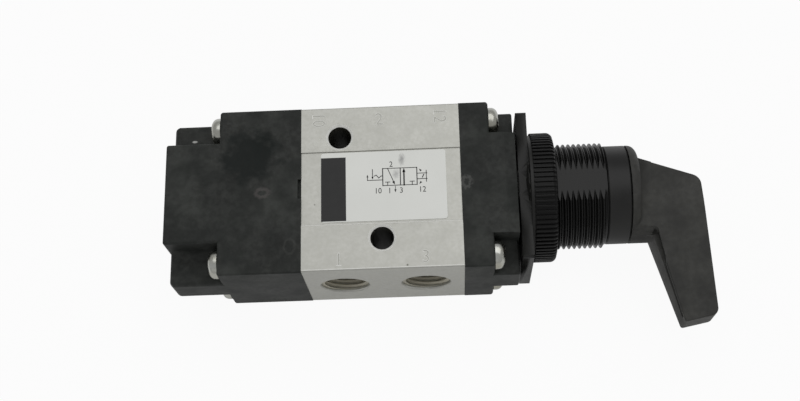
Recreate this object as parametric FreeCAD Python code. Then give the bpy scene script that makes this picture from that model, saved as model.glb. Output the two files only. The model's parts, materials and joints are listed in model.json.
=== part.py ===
"""Lever-operated 3/2 spool valve for panel mounting, built as separate solids.

Frame: +X along the spool towards the lever, +Z out of the label side,
-Y out of the two front ports. The stored origin is on the spool axis at the
outer face of the ring nut, where the free panel thread begins. Millimetres.
"""
import FreeCAD
import Part

import math
import os

os.makedirs("parts", exist_ok=True)

Vec = FreeCAD.Vector
X_AXIS = Vec(1, 0, 0)
Y_AXIS = Vec(0, 1, 0)
Z_AXIS = Vec(0, 0, 1)

# Valve body: an extruded bar, cut to length. The ports set its length.
PORT_SPACING = 11.4
BODY_END_LAND = 5.1
BODY_LENGTH = 3 * PORT_SPACING + 2 * BODY_END_LAND
BODY_WIDTH = 48.0
BODY_HEIGHT = 30.0
BODY_EDGE_R = 0.4
HALF_W = BODY_WIDTH / 2
HALF_H = BODY_HEIGHT / 2

# The adaptor cap lies between the body and the panel bush's flange
FLANGE_T = 3.0
FLANGE_GAP = 0.6
ADAPTOR_BLOCK_LENGTH = 8.3
ADAPTOR_END_LENGTH = 7.1
ADAPTOR_END = -FLANGE_T - FLANGE_GAP
ADAPTOR_STEP = ADAPTOR_END - ADAPTOR_END_LENGTH
BODY_RIGHT = ADAPTOR_STEP - ADAPTOR_BLOCK_LENGTH
BODY_LEFT = BODY_RIGHT - BODY_LENGTH
BODY_CENTRE_X = (BODY_LEFT + BODY_RIGHT) / 2

# Shallow channel on the top face, with the label in it
CHANNEL_WIDTH = 21.2
CHANNEL_DEPTH = 0.35
LABEL_LENGTH = BODY_LENGTH - 9.6
LABEL_WIDTH = CHANNEL_WIDTH - 1.7
LABEL_THICKNESS = 0.15
LABEL_CORNER_R = 1.6
LABEL_CENTRE_X = BODY_CENTRE_X + 0.7

# Ports: G1/4 threads, shown in CAD as plain bores at the major radius
PORT_R = 6.58
PORT_CHAMFER = 0.55
PORT_DEPTH = 12.0
PORT_DRILL_R = 3.6

# Mounting holes right through the body, for M6 screws
MOUNT_HOLE_R = 3.3
MOUNT_HOLE_CHAMFER = 0.6
MOUNT_HOLE_Y = 15.0

# Spool bore and the stack of seals, cages and rings in it
STACK_BORE_R = 8.0
STACK_FIT = 0.04
STACK_OUTER_R = STACK_BORE_R - STACK_FIT
SEAL_WIDTH = 1.8
SEAL_STATIONS = [PORT_SPACING * step for step in (-1.5, -0.5, 0.5, 1.5)]
SEAL_SPOOL_GAP = 0.04
SEAL_NOSE_WIDTH = 0.5
SEAL_NOSE_RISE = 0.8
CAGE_GROOVE_WALL = 1.4
CAGE_GROOVE_WIDTH = 6.4
CAGE_WINDOW = 3.0
CAGE_WINDOWS = 6
RING_FLANGE_T = 1.4
RING_FLANGE_REACH = 1.9
COUNTERBORE_R = STACK_BORE_R + RING_FLANGE_REACH
COUNTERBORE_DEPTH = RING_FLANGE_T + 0.1
STACK_GAP = 0.02

# Spool: full radius at both ends, a thinner neck between them
SPOOL_R = 5.0
SPOOL_NECK_R = 3.2
SPOOL_OVERHANG = 1.3
SPOOL_LEFT = BODY_LEFT - SPOOL_OVERHANG
CAGE_INNER_R = SPOOL_R + 0.6
RING_INNER_R = SPOOL_R + 0.3
NECK_LEFT_FROM_CENTRE = -3.2
NECK_RIGHT_FROM_CENTRE = 9.0
NECK_TAPER = 1.6
SPOOL_TAIL_R = 2.5
SPOOL_TAIL_LENGTH = 4.3
SPOOL_STROKE = 5.0
LEVER_SWING_DEG = 90.0

# Corner screws: M4 with pan heads and cross recesses
SCREW_R = 2.0
SCREW_HEAD_R = 4.0
SCREW_HEAD_H = 3.0
SCREW_HEAD_FLAT_R = 2.6
SCREW_FROM_SIDE = 4.3
SCREW_FROM_TOP = 4.4
SCREW_Y = HALF_W - SCREW_FROM_SIDE
SCREW_Z = HALF_H - SCREW_FROM_TOP
SCREW_HOLE_R = SCREW_R + 0.05
SCREW_CLEAR_R = SCREW_R + 0.2
LEFT_SCREW_LENGTH = 30.0
RIGHT_SCREW_LENGTH = 20.0
RECESS_SPAN = 4.4
RECESS_WIDTH = 0.9
RECESS_DEPTH = 1.6

# Both caps share one end shape: a full-height boss with two half-height wings
CAP_HALF_W = HALF_W + 0.15
BOSS_HALF_W = SCREW_Y - SCREW_HEAD_R - 1.0
WING_HALF_H = SCREW_Z - SCREW_HEAD_R - 0.6
POCKET_COVE_R = 2.6
BOSS_EDGE_R = 0.7
WING_EDGE_R = 1.5

# Return cap on the left
RETURN_BLOCK_LENGTH = 23.2
RETURN_END_LENGTH = 15.1
RETURN_JOINT = BODY_LEFT
RETURN_STEP = RETURN_JOINT - RETURN_BLOCK_LENGTH
RETURN_END = RETURN_STEP - RETURN_END_LENGTH
SPRING_BORE_R = 9.0
END_WALL = 4.0
SPRING_FLOOR = RETURN_END + END_WALL
SPRING_STUB_R = 3.6
SPRING_STUB_LENGTH = 6.0
VENT_WIDTH = 5.7
VENT_LENGTH = 1.0
VENT_DEPTH = 1.4
CAP_SEAL_R = 0.62
SEAL_GROOVE_INNER_R = COUNTERBORE_R + 0.3
SEAL_GROOVE_WIDTH = 1.7
SEAL_GROOVE_OUTER_R = SEAL_GROOVE_INNER_R + SEAL_GROOVE_WIDTH
SEAL_GROOVE_DEPTH = 2 * CAP_SEAL_R + 0.06

# Return spring and its seat
SPRING_R = 6.2
SPRING_WIRE_R = 0.6
SPRING_TURNS = 8.0
SPRING_WIRE_SIDES = 8
SEAT_FLANGE_R = SPRING_BORE_R - 0.6
SEAT_FLANGE_T = 1.6
SEAT_HUB_R = SPRING_R - SPRING_WIRE_R - 1.2
SEAT_HUB_LENGTH = 8.0
SEAT_FIT = 0.03

# Adaptor cap on the right
ADAPTOR_SLOPE_LENGTH = 3.1
ADAPTOR_SLOPE_DROP = 0.8
STEM_R = 11.45
STEM_FIT = 0.05
CLIP_RECESS_R = STEM_R + 2.05
CLIP_RECESS_DEPTH = 2.1
CLIP_T = 1.0
CLIP_GROOVE_R = STEM_R - 0.55
CLIP_OUTER_R = CLIP_RECESS_R - 0.4
STEM_KEY_WIDTH = 3.0
STEM_KEY_HEIGHT = 1.3

# Panel bush: rectangular flange, M30 x 1.5 thread with one flat, plain nose bore
FLANGE_HALF_W = HALF_W - 2.5
FLANGE_TOP = HALF_H - 2.3
FLANGE_BOTTOM = -HALF_H + 0.7
FLANGE_CORNER_R = 0.8
THREAD_R = 15.0
THREAD_LENGTH = 21.2
THREAD_FLAT_DEPTH = 1.2
THREAD_FLAT_Z = THREAD_R - THREAD_FLAT_DEPTH
THREAD_RELIEF_R = THREAD_R - 0.2
THREAD_CHAMFER = 0.6
BUSH_LEFT = BODY_RIGHT + 0.1
CAM_BORE_R = 8.6
KEY_SLOT_R = CAM_BORE_R + 1.1
KEY_WIDTH = 3.0
KEY_FIT = 0.05
SLEEVE_BORE_R = 5.5
SLEEVE_END = 20.4
CLIP_BORE_R = SLEEVE_BORE_R + 1.3
CORE_INNER_R = 8.3
CORE_OUTER_R = THREAD_R - 3.0
CORE_START = 10.5
CORE_RIB_END = 17.0
CORE_RIB_T = 1.2

# Collar that covers the end of the bush
COVER_LEFT = THREAD_LENGTH + 0.2
COVER_LENGTH = 6.4
COVER_RIGHT = COVER_LEFT + COVER_LENGTH
COVER_R = THREAD_R - 1.0
COVER_EDGE = 0.35
COVER_FRONT_T = 2.2
COVER_ORING_END = COVER_RIGHT - COVER_FRONT_T
SPIGOT_OUTER_R = CORE_OUTER_R - 0.1
SPIGOT_T = 1.3
SPIGOT_INNER_R = SPIGOT_OUTER_R - SPIGOT_T
SPIGOT_LENGTH = THREAD_LENGTH - CORE_RIB_END - 0.3

# Spindle and its bearing
SPINDLE_R = 4.0
SPINDLE_LEFT = 2.0
SPINDLE_IN_LEVER = 12.5
SPINDLE_RIGHT = COVER_RIGHT + 0.2 + SPINDLE_IN_LEVER
SPINDLE_RUNNING_FIT = 0.05
SPINDLE_FLAT_Z = -SPINDLE_R + 0.8
SPINDLE_FLAT_LENGTH = 9.5
SPINDLE_FLAT_START = SPINDLE_RIGHT - SPINDLE_FLAT_LENGTH
SLEEVE_OUTER_R = SLEEVE_BORE_R - 0.05
WASHER_T = 0.98
ORING_R = 0.85
ORING_GROOVE_R = SPINDLE_R - 0.7
ORING_GROOVE_X = COVER_LEFT + 1.0
ORING_GROOVE_WIDTH = 2 * ORING_R + 0.3
COVER_ORING_BORE_R = ORING_GROOVE_R + 2 * ORING_R + 0.2
CLIP_GROOVE_X = SLEEVE_END + 0.1
SPINDLE_CLIP_T = 0.7
SPINDLE_CLIP_R = CLIP_BORE_R - 0.6
SPINDLE_CLIP_GROOVE_R = SPINDLE_R - 0.6

# Face cam: two ramps of half a turn each, 5 mm of travel per quarter turn
CAM_OUTER_R = CAM_BORE_R - 0.08
CAM_INNER_R = SPINDLE_R + 0.3
CAM_BASE_LEFT = SPINDLE_LEFT
CAM_BASE_T = 4.0
CAM_BASE_RIGHT = CAM_BASE_LEFT + CAM_BASE_T
SHOULDER_X = CAM_BASE_RIGHT + WASHER_T + 0.02
CAM_HUB_FIT = 0.02
CAM_LEAD = SPOOL_STROKE * 360.0 / LEVER_SWING_DEG
CAM_RAMP_HEIGHT = CAM_LEAD / 2
CAM_FACE_GAP = 0.06
CAM_STEP_GAP_DEG = 3.0
PLUNGER_BASE_T = 5.8
PLUNGER_LEFT = CAM_BASE_LEFT - CAM_RAMP_HEIGHT - PLUNGER_BASE_T
PLUNGER_KEY_R = KEY_SLOT_R - 0.1
PLUNGER_KEY_LENGTH = 5.0
PLUNGER_KEY_RIGHT = PLUNGER_LEFT + PLUNGER_KEY_LENGTH
PLUNGER_CORE_GAP = 0.3
SPOOL_RIGHT = PLUNGER_LEFT - 0.05
DRIVE_PIN_R = 1.0
DRIVE_PIN_HALF = CAM_OUTER_R - 0.32
DRIVE_PIN_FIT = 0.02

# Lever: round hub that runs out into a flat, tapering arm
HUB_LEFT = COVER_RIGHT + 0.2
HUB_T = 2.8
HUB_RIGHT = HUB_LEFT + HUB_T
HUB_R = COVER_R
HUB_ROUND_R = 2.4
ARM_REACH = 21.75
ARM_LENGTH = 38.7
ARM_TIP_SLANT = 1.9
ARM_TIP_WIDTH = 9.3
ARM_BACK_LEAN = 1.8
ARM_BACK_START_Y = 8.99
ARM_BACK_CORNER_Y = 1.88
ARM_ROOT_DEPTH = 6.3
ARM_BACK_START = (HUB_LEFT + 0.4, ARM_BACK_START_Y)
ARM_BACK_CORNER = (HUB_LEFT + ARM_REACH - ARM_BACK_LEAN, ARM_BACK_CORNER_Y)
ARM_TIP_OUTER = (HUB_LEFT + ARM_REACH, -ARM_LENGTH + ARM_TIP_SLANT)
ARM_TIP_INNER = (HUB_LEFT + ARM_REACH - ARM_TIP_WIDTH, -ARM_LENGTH)
ARM_ROOT_INNER = (HUB_LEFT + ARM_ROOT_DEPTH, -HUB_R + 0.4)
ARM_ROOT_HIDDEN_Y = -8.0
ARM_BACK_R = 3.2
ARM_TIP_OUTER_R = 2.2
ARM_TIP_INNER_R = 0.7
ARM_HALF_T_ROOT = 8.0
ARM_TAPER_START_Y = -6.0
ARM_TAPER_BLEND_R = 25.0
ARM_HALF_T_TIP = 4.1
ARM_EDGE_R = 0.45
ARM_SLOT_LIP = 0.7
ARM_SLOT_HEIGHT_ROOT = 2.7
ARM_SLOT_HEIGHT_TIP = 1.5
ARM_SLOT_DEPTH = 2.0
ARM_SLOT_END_GAP = 1.6
ARM_CORE_WALL = 2.4
ARM_CORE_ROOF = 4.2
ARM_CORE_RIB_T = 1.2
ARM_CORE_RIB_Y = (-20.0, -28.0)
LEVER_BORE_FIT = 0.02
GRUB_FROM_HUB = 7.5
GRUB_X = HUB_LEFT + GRUB_FROM_HUB
GRUB_R = 2.0
GRUB_TOP = SPINDLE_FLAT_Z - 0.05
GRUB_BOTTOM = -ARM_HALF_T_ROOT + 0.6
GRUB_SOCKET_AF = 2.0
GRUB_SOCKET_DEPTH = 1.6

# Ring nut and the thin washer behind it
NUT_WASHER_T = 0.8
NUT_WASHER_BAND = 2.9
NUT_WASHER_R = THREAD_R + NUT_WASHER_BAND
NUT_WASHER_FIT = 0.1
NUT_WALL = 3.5
NUT_R = THREAD_R + NUT_WALL
NUT_LENGTH = 6.5
NUT_FIT = 0.06
NUT_REAR_CHAMFER = 0.4
NUT_NOSE_R = 1.6

# Cutters and trimming blocks reach well past every piece
REACH = BODY_WIDTH + HALF_H

# Sizes here are measured from the flange's front face. The stored frame starts at the
# ring nut's outer face instead, where the free stretch of panel thread begins.
STORED_FRAME_SHIFT = Vec(-(NUT_WASHER_T + NUT_LENGTH), 0, 0)


def box(x0, x1, y0, y1, z0, z1):
    return Part.makeBox(x1 - x0, y1 - y0, z1 - z0, Vec(x0, y0, z0))


def rod_x(r, x0, x1, y=0.0, z=0.0):
    return Part.makeCylinder(r, x1 - x0, Vec(x0, y, z), X_AXIS)


def tube_x(r_out, r_in, x0, x1):
    return rod_x(r_out, x0, x1).cut(rod_x(r_in, x0 - 1, x1 + 1))


def turned(points):
    """Solid of revolution about X from a closed outline of (x, radius) points."""
    corners = [Vec(x, r, 0) for x, r in points]
    outline = Part.makePolygon(corners + [corners[0]])
    return Part.Face(outline).revolve(Vec(0, 0, 0), X_AXIS, 360)


def wire_outline(radius, sides):
    """Points of a regular outline round (0, 0), for a wire's or an O-ring's section."""
    angles = [2 * math.pi * (i + 0.5) / sides for i in range(sides)]
    return [(radius * math.cos(a), radius * math.sin(a)) for a in angles]


def ring_of_wire(x, centre_r, wire_r):
    return turned([(x + dx, centre_r + dr) for dx, dr in wire_outline(wire_r, 8)])


def all_four(shape):
    """The shape and its mirror images across the XZ and XY planes."""
    across = shape.mirror(Vec(0, 0, 0), Y_AXIS)
    return [
        shape,
        across,
        shape.mirror(Vec(0, 0, 0), Z_AXIS),
        across.mirror(Vec(0, 0, 0), Z_AXIS),
    ]


def edges_where(shape, test):
    """Edges whose two ends and middle all pass the test."""
    found = []
    for edge in shape.Edges:
        middle = edge.valueAt((edge.FirstParameter + edge.LastParameter) / 2)
        points = [v.Point for v in edge.Vertexes] + [middle]
        if all(test(p) for p in points):
            found.append(edge)
    return found


def near(a, b):
    return abs(a - b) < 1e-4


def rounded_block(x0, x1, half_w, z0, z1, r):
    """Box with its four edges along X rounded."""
    block = box(x0, x1, -half_w, half_w, z0, z1)
    long_edges = edges_where(
        block, lambda p: near(abs(p.y), half_w) and (near(p.z, z0) or near(p.z, z1)))
    return block.makeFillet(r, long_edges)


def screw_points():
    return [(y, z) for y in (-SCREW_Y, SCREW_Y) for z in (-SCREW_Z, SCREW_Z)]


# Valve body


def port_cutter(x, side):
    """Threaded port, its mouth chamfer and the drilling into the spool bore."""
    mouth = HALF_W
    outline = [
        (mouth + 1, 0),
        (mouth + 1, PORT_R + PORT_CHAMFER),
        (mouth, PORT_R + PORT_CHAMFER),
        (mouth - PORT_CHAMFER, PORT_R),
        (mouth - PORT_DEPTH, PORT_R),
        (mouth - PORT_DEPTH - 1.2, PORT_DRILL_R),
        (STACK_BORE_R - 2.0, PORT_DRILL_R),
        (STACK_BORE_R - 2.0, 0),
    ]
    corners = [Vec(r, d, 0) for d, r in outline]
    face = Part.Face(Part.makePolygon(corners + [corners[0]]))
    cutter = face.revolve(Vec(0, 0, 0), Y_AXIS, 360)
    if side < 0:
        cutter = cutter.mirror(Vec(0, 0, 0), Y_AXIS)
    cutter.translate(Vec(x, 0, 0))
    return cutter


def mount_hole_cutter(x, y):
    c = MOUNT_HOLE_CHAMFER
    hole = Part.makeCylinder(MOUNT_HOLE_R, BODY_HEIGHT + 2, Vec(x, y, -HALF_H - 1), Z_AXIS)
    top = Part.makeCone(MOUNT_HOLE_R, MOUNT_HOLE_R + 2 * c, 2 * c, Vec(x, y, HALF_H - c), Z_AXIS)
    foot = Part.makeCone(MOUNT_HOLE_R + 2 * c, MOUNT_HOLE_R, 2 * c, Vec(x, y, -HALF_H - c), Z_AXIS)
    return hole.fuse([top, foot])


def make_valve_body():
    body = rounded_block(BODY_LEFT, BODY_RIGHT, HALF_W, -HALF_H, HALF_H, BODY_EDGE_R)
    cutters = [
        box(BODY_LEFT - 1, BODY_RIGHT + 1, -CHANNEL_WIDTH / 2, CHANNEL_WIDTH / 2,
            HALF_H - CHANNEL_DEPTH, HALF_H + 1),
        rod_x(STACK_BORE_R, BODY_LEFT - 1, BODY_RIGHT + 1),
        rod_x(COUNTERBORE_R, BODY_LEFT - 1, BODY_LEFT + COUNTERBORE_DEPTH),
        rod_x(COUNTERBORE_R, BODY_RIGHT - COUNTERBORE_DEPTH, BODY_RIGHT + 1),
        port_cutter(BODY_CENTRE_X - PORT_SPACING, -1),
        port_cutter(BODY_CENTRE_X + PORT_SPACING, -1),
        port_cutter(BODY_CENTRE_X, 1),
        mount_hole_cutter(BODY_CENTRE_X - PORT_SPACING, MOUNT_HOLE_Y),
        mount_hole_cutter(BODY_CENTRE_X, -MOUNT_HOLE_Y),
    ]
    left_tip = RETURN_STEP + LEFT_SCREW_LENGTH
    right_tip = ADAPTOR_STEP - RIGHT_SCREW_LENGTH
    for y, z in screw_points():
        cutters.append(rod_x(SCREW_HOLE_R, BODY_LEFT - 1, left_tip + 0.4, y, z))
        cutters.append(rod_x(SCREW_HOLE_R, right_tip - 0.4, BODY_RIGHT + 1, y, z))
    for cutter in cutters:
        body = body.cut(cutter)
    return body


def make_label():
    floor = HALF_H - CHANNEL_DEPTH
    x0 = LABEL_CENTRE_X - LABEL_LENGTH / 2
    x1 = LABEL_CENTRE_X + LABEL_LENGTH / 2
    label = box(x0, x1, -LABEL_WIDTH / 2, LABEL_WIDTH / 2, floor, floor + LABEL_THICKNESS)
    corners = edges_where(
        label, lambda p: near(abs(p.y), LABEL_WIDTH / 2) and (near(p.x, x0) or near(p.x, x1)))
    return label.makeFillet(LABEL_CORNER_R, corners)


# Seals, cages and rings round the spool


def make_spool_seals():
    """Four rings, each with a narrow nose towards the spool."""
    half = SEAL_WIDTH / 2
    nose = SPOOL_R + SEAL_SPOOL_GAP
    rings = []
    for station in SEAL_STATIONS:
        x = BODY_CENTRE_X + station
        rings.append(turned([
            (x - half, STACK_OUTER_R),
            (x + half, STACK_OUTER_R),
            (x + half, nose + SEAL_NOSE_RISE),
            (x + SEAL_NOSE_WIDTH / 2, nose),
            (x - SEAL_NOSE_WIDTH / 2, nose),
            (x - half, nose + SEAL_NOSE_RISE),
        ]))
    return Part.makeCompound(rings)


def make_port_cages():
    """Three spacer rings with a groove and radial windows that let air through."""
    half = (SEAL_STATIONS[1] - SEAL_STATIONS[0] - SEAL_WIDTH) / 2 - STACK_GAP
    cages = []
    for station in (-PORT_SPACING, 0.0, PORT_SPACING):
        x = BODY_CENTRE_X + station
        cage = tube_x(STACK_OUTER_R, CAGE_INNER_R, x - half, x + half)
        groove = tube_x(STACK_OUTER_R + 1, CAGE_INNER_R + CAGE_GROOVE_WALL,
                        x - CAGE_GROOVE_WIDTH / 2, x + CAGE_GROOVE_WIDTH / 2)
        cage = cage.cut(groove)
        w = CAGE_WINDOW / 2
        for i in range(CAGE_WINDOWS):
            window = box(x - w, x + w, -w, w, 0, STACK_BORE_R)
            window.rotate(Vec(0, 0, 0), X_AXIS, i * 360.0 / CAGE_WINDOWS)
            cage = cage.cut(window)
        cages.append(cage)
    return Part.makeCompound(cages)


def make_end_rings():
    """Guide rings. Their flanges sit in the body's counterbores, under the two caps."""
    inner = SEAL_STATIONS[3] + SEAL_WIDTH / 2 + STACK_GAP
    outer = BODY_LENGTH / 2 - 0.05
    sleeve = tube_x(STACK_OUTER_R, RING_INNER_R, inner, outer)
    flange = tube_x(COUNTERBORE_R - 0.1, RING_INNER_R, outer - RING_FLANGE_T, outer)
    right = sleeve.fuse(flange).removeSplitter()
    left = right.mirror(Vec(0, 0, 0), X_AXIS)
    rings = Part.makeCompound([left, right])
    rings.translate(Vec(BODY_CENTRE_X, 0, 0))
    return rings


def make_cap_seal():
    centre_r = (SEAL_GROOVE_INNER_R + SEAL_GROOVE_OUTER_R) / 2
    x = RETURN_JOINT - SEAL_GROOVE_DEPTH + CAP_SEAL_R + 0.02
    return ring_of_wire(x, centre_r, CAP_SEAL_R)


# Spool, spring and spring seat


def make_spool():
    neck_left = BODY_CENTRE_X + NECK_LEFT_FROM_CENTRE
    neck_right = BODY_CENTRE_X + NECK_RIGHT_FROM_CENTRE
    return turned([
        (SPOOL_LEFT - SPOOL_TAIL_LENGTH, 0),
        (SPOOL_LEFT - SPOOL_TAIL_LENGTH, SPOOL_TAIL_R - 0.4),
        (SPOOL_LEFT - SPOOL_TAIL_LENGTH + 0.4, SPOOL_TAIL_R),
        (SPOOL_LEFT, SPOOL_TAIL_R),
        (SPOOL_LEFT, SPOOL_R - 0.5),
        (SPOOL_LEFT + 0.8, SPOOL_R),
        (neck_left, SPOOL_R),
        (neck_left + NECK_TAPER, SPOOL_NECK_R),
        (neck_right - NECK_TAPER, SPOOL_NECK_R),
        (neck_right, SPOOL_R),
        (SPOOL_RIGHT - 0.6, SPOOL_R),
        (SPOOL_RIGHT, SPOOL_R - 0.6),
        (SPOOL_RIGHT, 0),
    ])


def make_spring_seat():
    """Flanged cup that sits on the spool's tail and centres the spring."""
    right = SPOOL_LEFT - 0.1
    face = right - SEAT_FLANGE_T
    seat = rod_x(SEAT_FLANGE_R, face, right)
    seat = seat.fuse(rod_x(SEAT_HUB_R, face - SEAT_HUB_LENGTH, face))
    tip = edges_where(seat, lambda p: near(p.x, face - SEAT_HUB_LENGTH))
    seat = seat.makeChamfer(0.6, tip)
    pocket = rod_x(SPOOL_TAIL_R + SEAT_FIT, right - SPOOL_TAIL_LENGTH - 0.4, right + 1)
    return seat.cut(pocket)


def make_return_spring():
    """Wire swept along a helix from the cap's floor to the seat."""
    clear = SPRING_WIRE_R + 0.05
    start = SPRING_FLOOR + clear
    end = SPOOL_LEFT - 0.1 - SEAT_FLANGE_T - clear
    length = end - start
    path = Part.makeHelix(length / SPRING_TURNS, length, SPRING_R)
    points = [Vec(SPRING_R + dr, 0, dz) for dr, dz in wire_outline(SPRING_WIRE_R, SPRING_WIRE_SIDES)]
    section = Part.makePolygon(points + [points[0]])
    coil = Part.Wire(path).makePipeShell([section], True, True)
    coil.rotate(Vec(0, 0, 0), Y_AXIS, 90)
    coil.translate(Vec(start, 0, 0))
    return coil


# End caps


def on_wing_corner(p):
    return near(abs(p.y), CAP_HALF_W) and near(abs(p.z), WING_HALF_H)


def pocket_coves(x0, x1):
    """Concave corners between the boss sides and the wings."""
    y = BOSS_HALF_W
    z = WING_HALF_H
    r = POCKET_COVE_R
    block = box(x0, x1, y - 0.5, y + r, z - 0.5, z + r)
    cove = block.cut(rod_x(r, x0 - 1, x1 + 1, y + r, z + r))
    return all_four(cove)


def make_return_cap():
    joint, step, end = RETURN_JOINT, RETURN_STEP, RETURN_END
    block = rounded_block(step, joint, CAP_HALF_W, -HALF_H, HALF_H, 0.5)
    corner = edges_where(block, lambda p: near(p.x, step))
    block = block.makeFillet(0.8, corner)
    boss = box(end, step + 2, -BOSS_HALF_W, BOSS_HALF_W, -HALF_H, HALF_H)
    boss = boss.makeFillet(BOSS_EDGE_R, edges_where(
        boss, lambda p: near(p.x, end) or (near(abs(p.y), BOSS_HALF_W) and near(abs(p.z), HALF_H))))
    wings = box(end + 0.25, step + 2, -CAP_HALF_W, CAP_HALF_W, -WING_HALF_H, WING_HALF_H)
    wings = wings.makeFillet(WING_EDGE_R, edges_where(
        wings, lambda p: near(p.x, end + 0.25) or on_wing_corner(p)))
    cap = block.fuse([boss, wings] + pocket_coves(end + 1.1, step + 1))
    cap = cap.removeSplitter()
    cutters = [
        rod_x(SPRING_BORE_R, SPRING_FLOOR, joint + 1),
        tube_x(SEAL_GROOVE_OUTER_R, SEAL_GROOVE_INNER_R, joint - SEAL_GROOVE_DEPTH, joint + 1),
        box(joint - VENT_LENGTH, joint + 1, -VENT_WIDTH / 2, VENT_WIDTH / 2,
            HALF_H - VENT_DEPTH, HALF_H + 1),
    ]
    for y, z in screw_points():
        cutters.append(rod_x(SCREW_CLEAR_R, end - 1, joint + 1, y, z))
    for cutter in cutters:
        cap = cap.cut(cutter)
    stub = rod_x(SPRING_STUB_R, SPRING_FLOOR - 0.5, SPRING_FLOOR + SPRING_STUB_LENGTH)
    stub = stub.makeChamfer(0.8, edges_where(stub, lambda p: near(p.x, SPRING_FLOOR + SPRING_STUB_LENGTH)))
    return cap.fuse(stub)


def make_adaptor_cap():
    joint, step, end = BODY_RIGHT, ADAPTOR_STEP, ADAPTOR_END
    block = rounded_block(joint, step, CAP_HALF_W, -HALF_H, HALF_H, 0.5)
    block = block.makeFillet(0.8, edges_where(block, lambda p: near(p.x, step)))
    boss = box(step - 2, end, -BOSS_HALF_W, BOSS_HALF_W, -HALF_H, HALF_H)
    run = ADAPTOR_SLOPE_LENGTH
    drop = ADAPTOR_SLOPE_DROP
    for side in (1, -1):
        wedge = Part.Face(Part.makePolygon([
            Vec(end - run, -REACH, side * HALF_H),
            Vec(end + 1, -REACH, side * (HALF_H - drop - drop / run)),
            Vec(end + 1, -REACH, side * (HALF_H + 2)),
            Vec(end - run, -REACH, side * (HALF_H + 2)),
            Vec(end - run, -REACH, side * HALF_H),
        ])).extrude(Vec(0, 2 * REACH, 0))
        boss = boss.cut(wedge)
    wings = box(step - 2, end, -CAP_HALF_W, CAP_HALF_W, -WING_HALF_H, WING_HALF_H)
    wings = wings.makeFillet(0.6, edges_where(wings, lambda p: near(p.x, end) or on_wing_corner(p)))
    cap = block.fuse([boss, wings] + pocket_coves(step - 1, end - 0.6))
    cap = cap.removeSplitter()
    bore_r = STEM_R + STEM_FIT
    cutters = [
        rod_x(bore_r, joint - 1, end + 1),
        rod_x(CLIP_RECESS_R, joint - 1, joint + CLIP_RECESS_DEPTH),
        box(joint - 1, end + 1, -STEM_KEY_WIDTH / 2 - 0.05, STEM_KEY_WIDTH / 2 + 0.05,
            -bore_r - STEM_KEY_HEIGHT, 0),
    ]
    for y, z in screw_points():
        cutters.append(rod_x(SCREW_CLEAR_R, joint - 1, end + 1, y, z))
    for cutter in cutters:
        cap = cap.cut(cutter)
    return cap


def cap_screw(seat_x, y, z, length, outward):
    """Pan-head screw with a cross recess. outward is the sign of X the head faces."""
    shank = turned([
        (0, 0),
        (0, SCREW_R),
        (-length + 0.6, SCREW_R),
        (-length, SCREW_R - 0.6),
        (-length, 0),
    ])
    h = SCREW_HEAD_H
    shoulder_r = (SCREW_HEAD_R + SCREW_HEAD_FLAT_R) / 2 + 0.3
    head = turned([
        (0, 0),
        (0, SCREW_HEAD_R),
        (h * 0.45, SCREW_HEAD_R),
        (h * 0.8, shoulder_r),
        (h, SCREW_HEAD_FLAT_R),
        (h, 0),
    ])
    for turn in (0, 90):
        blade = box(h - RECESS_DEPTH, h + 1, -RECESS_WIDTH / 2, RECESS_WIDTH / 2,
                    -RECESS_SPAN / 2, RECESS_SPAN / 2)
        blade.rotate(Vec(0, 0, 0), X_AXIS, turn + 45)
        head = head.cut(blade)
    screw = head.fuse(shank)
    if outward < 0:
        screw.rotate(Vec(0, 0, 0), Z_AXIS, 180)
    screw.translate(Vec(seat_x, y, z))
    return screw


def make_cap_screws(seat_x, length, outward):
    return Part.makeCompound([cap_screw(seat_x, y, z, length, outward) for y, z in screw_points()])


# Panel bush, its clip and its cover


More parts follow.
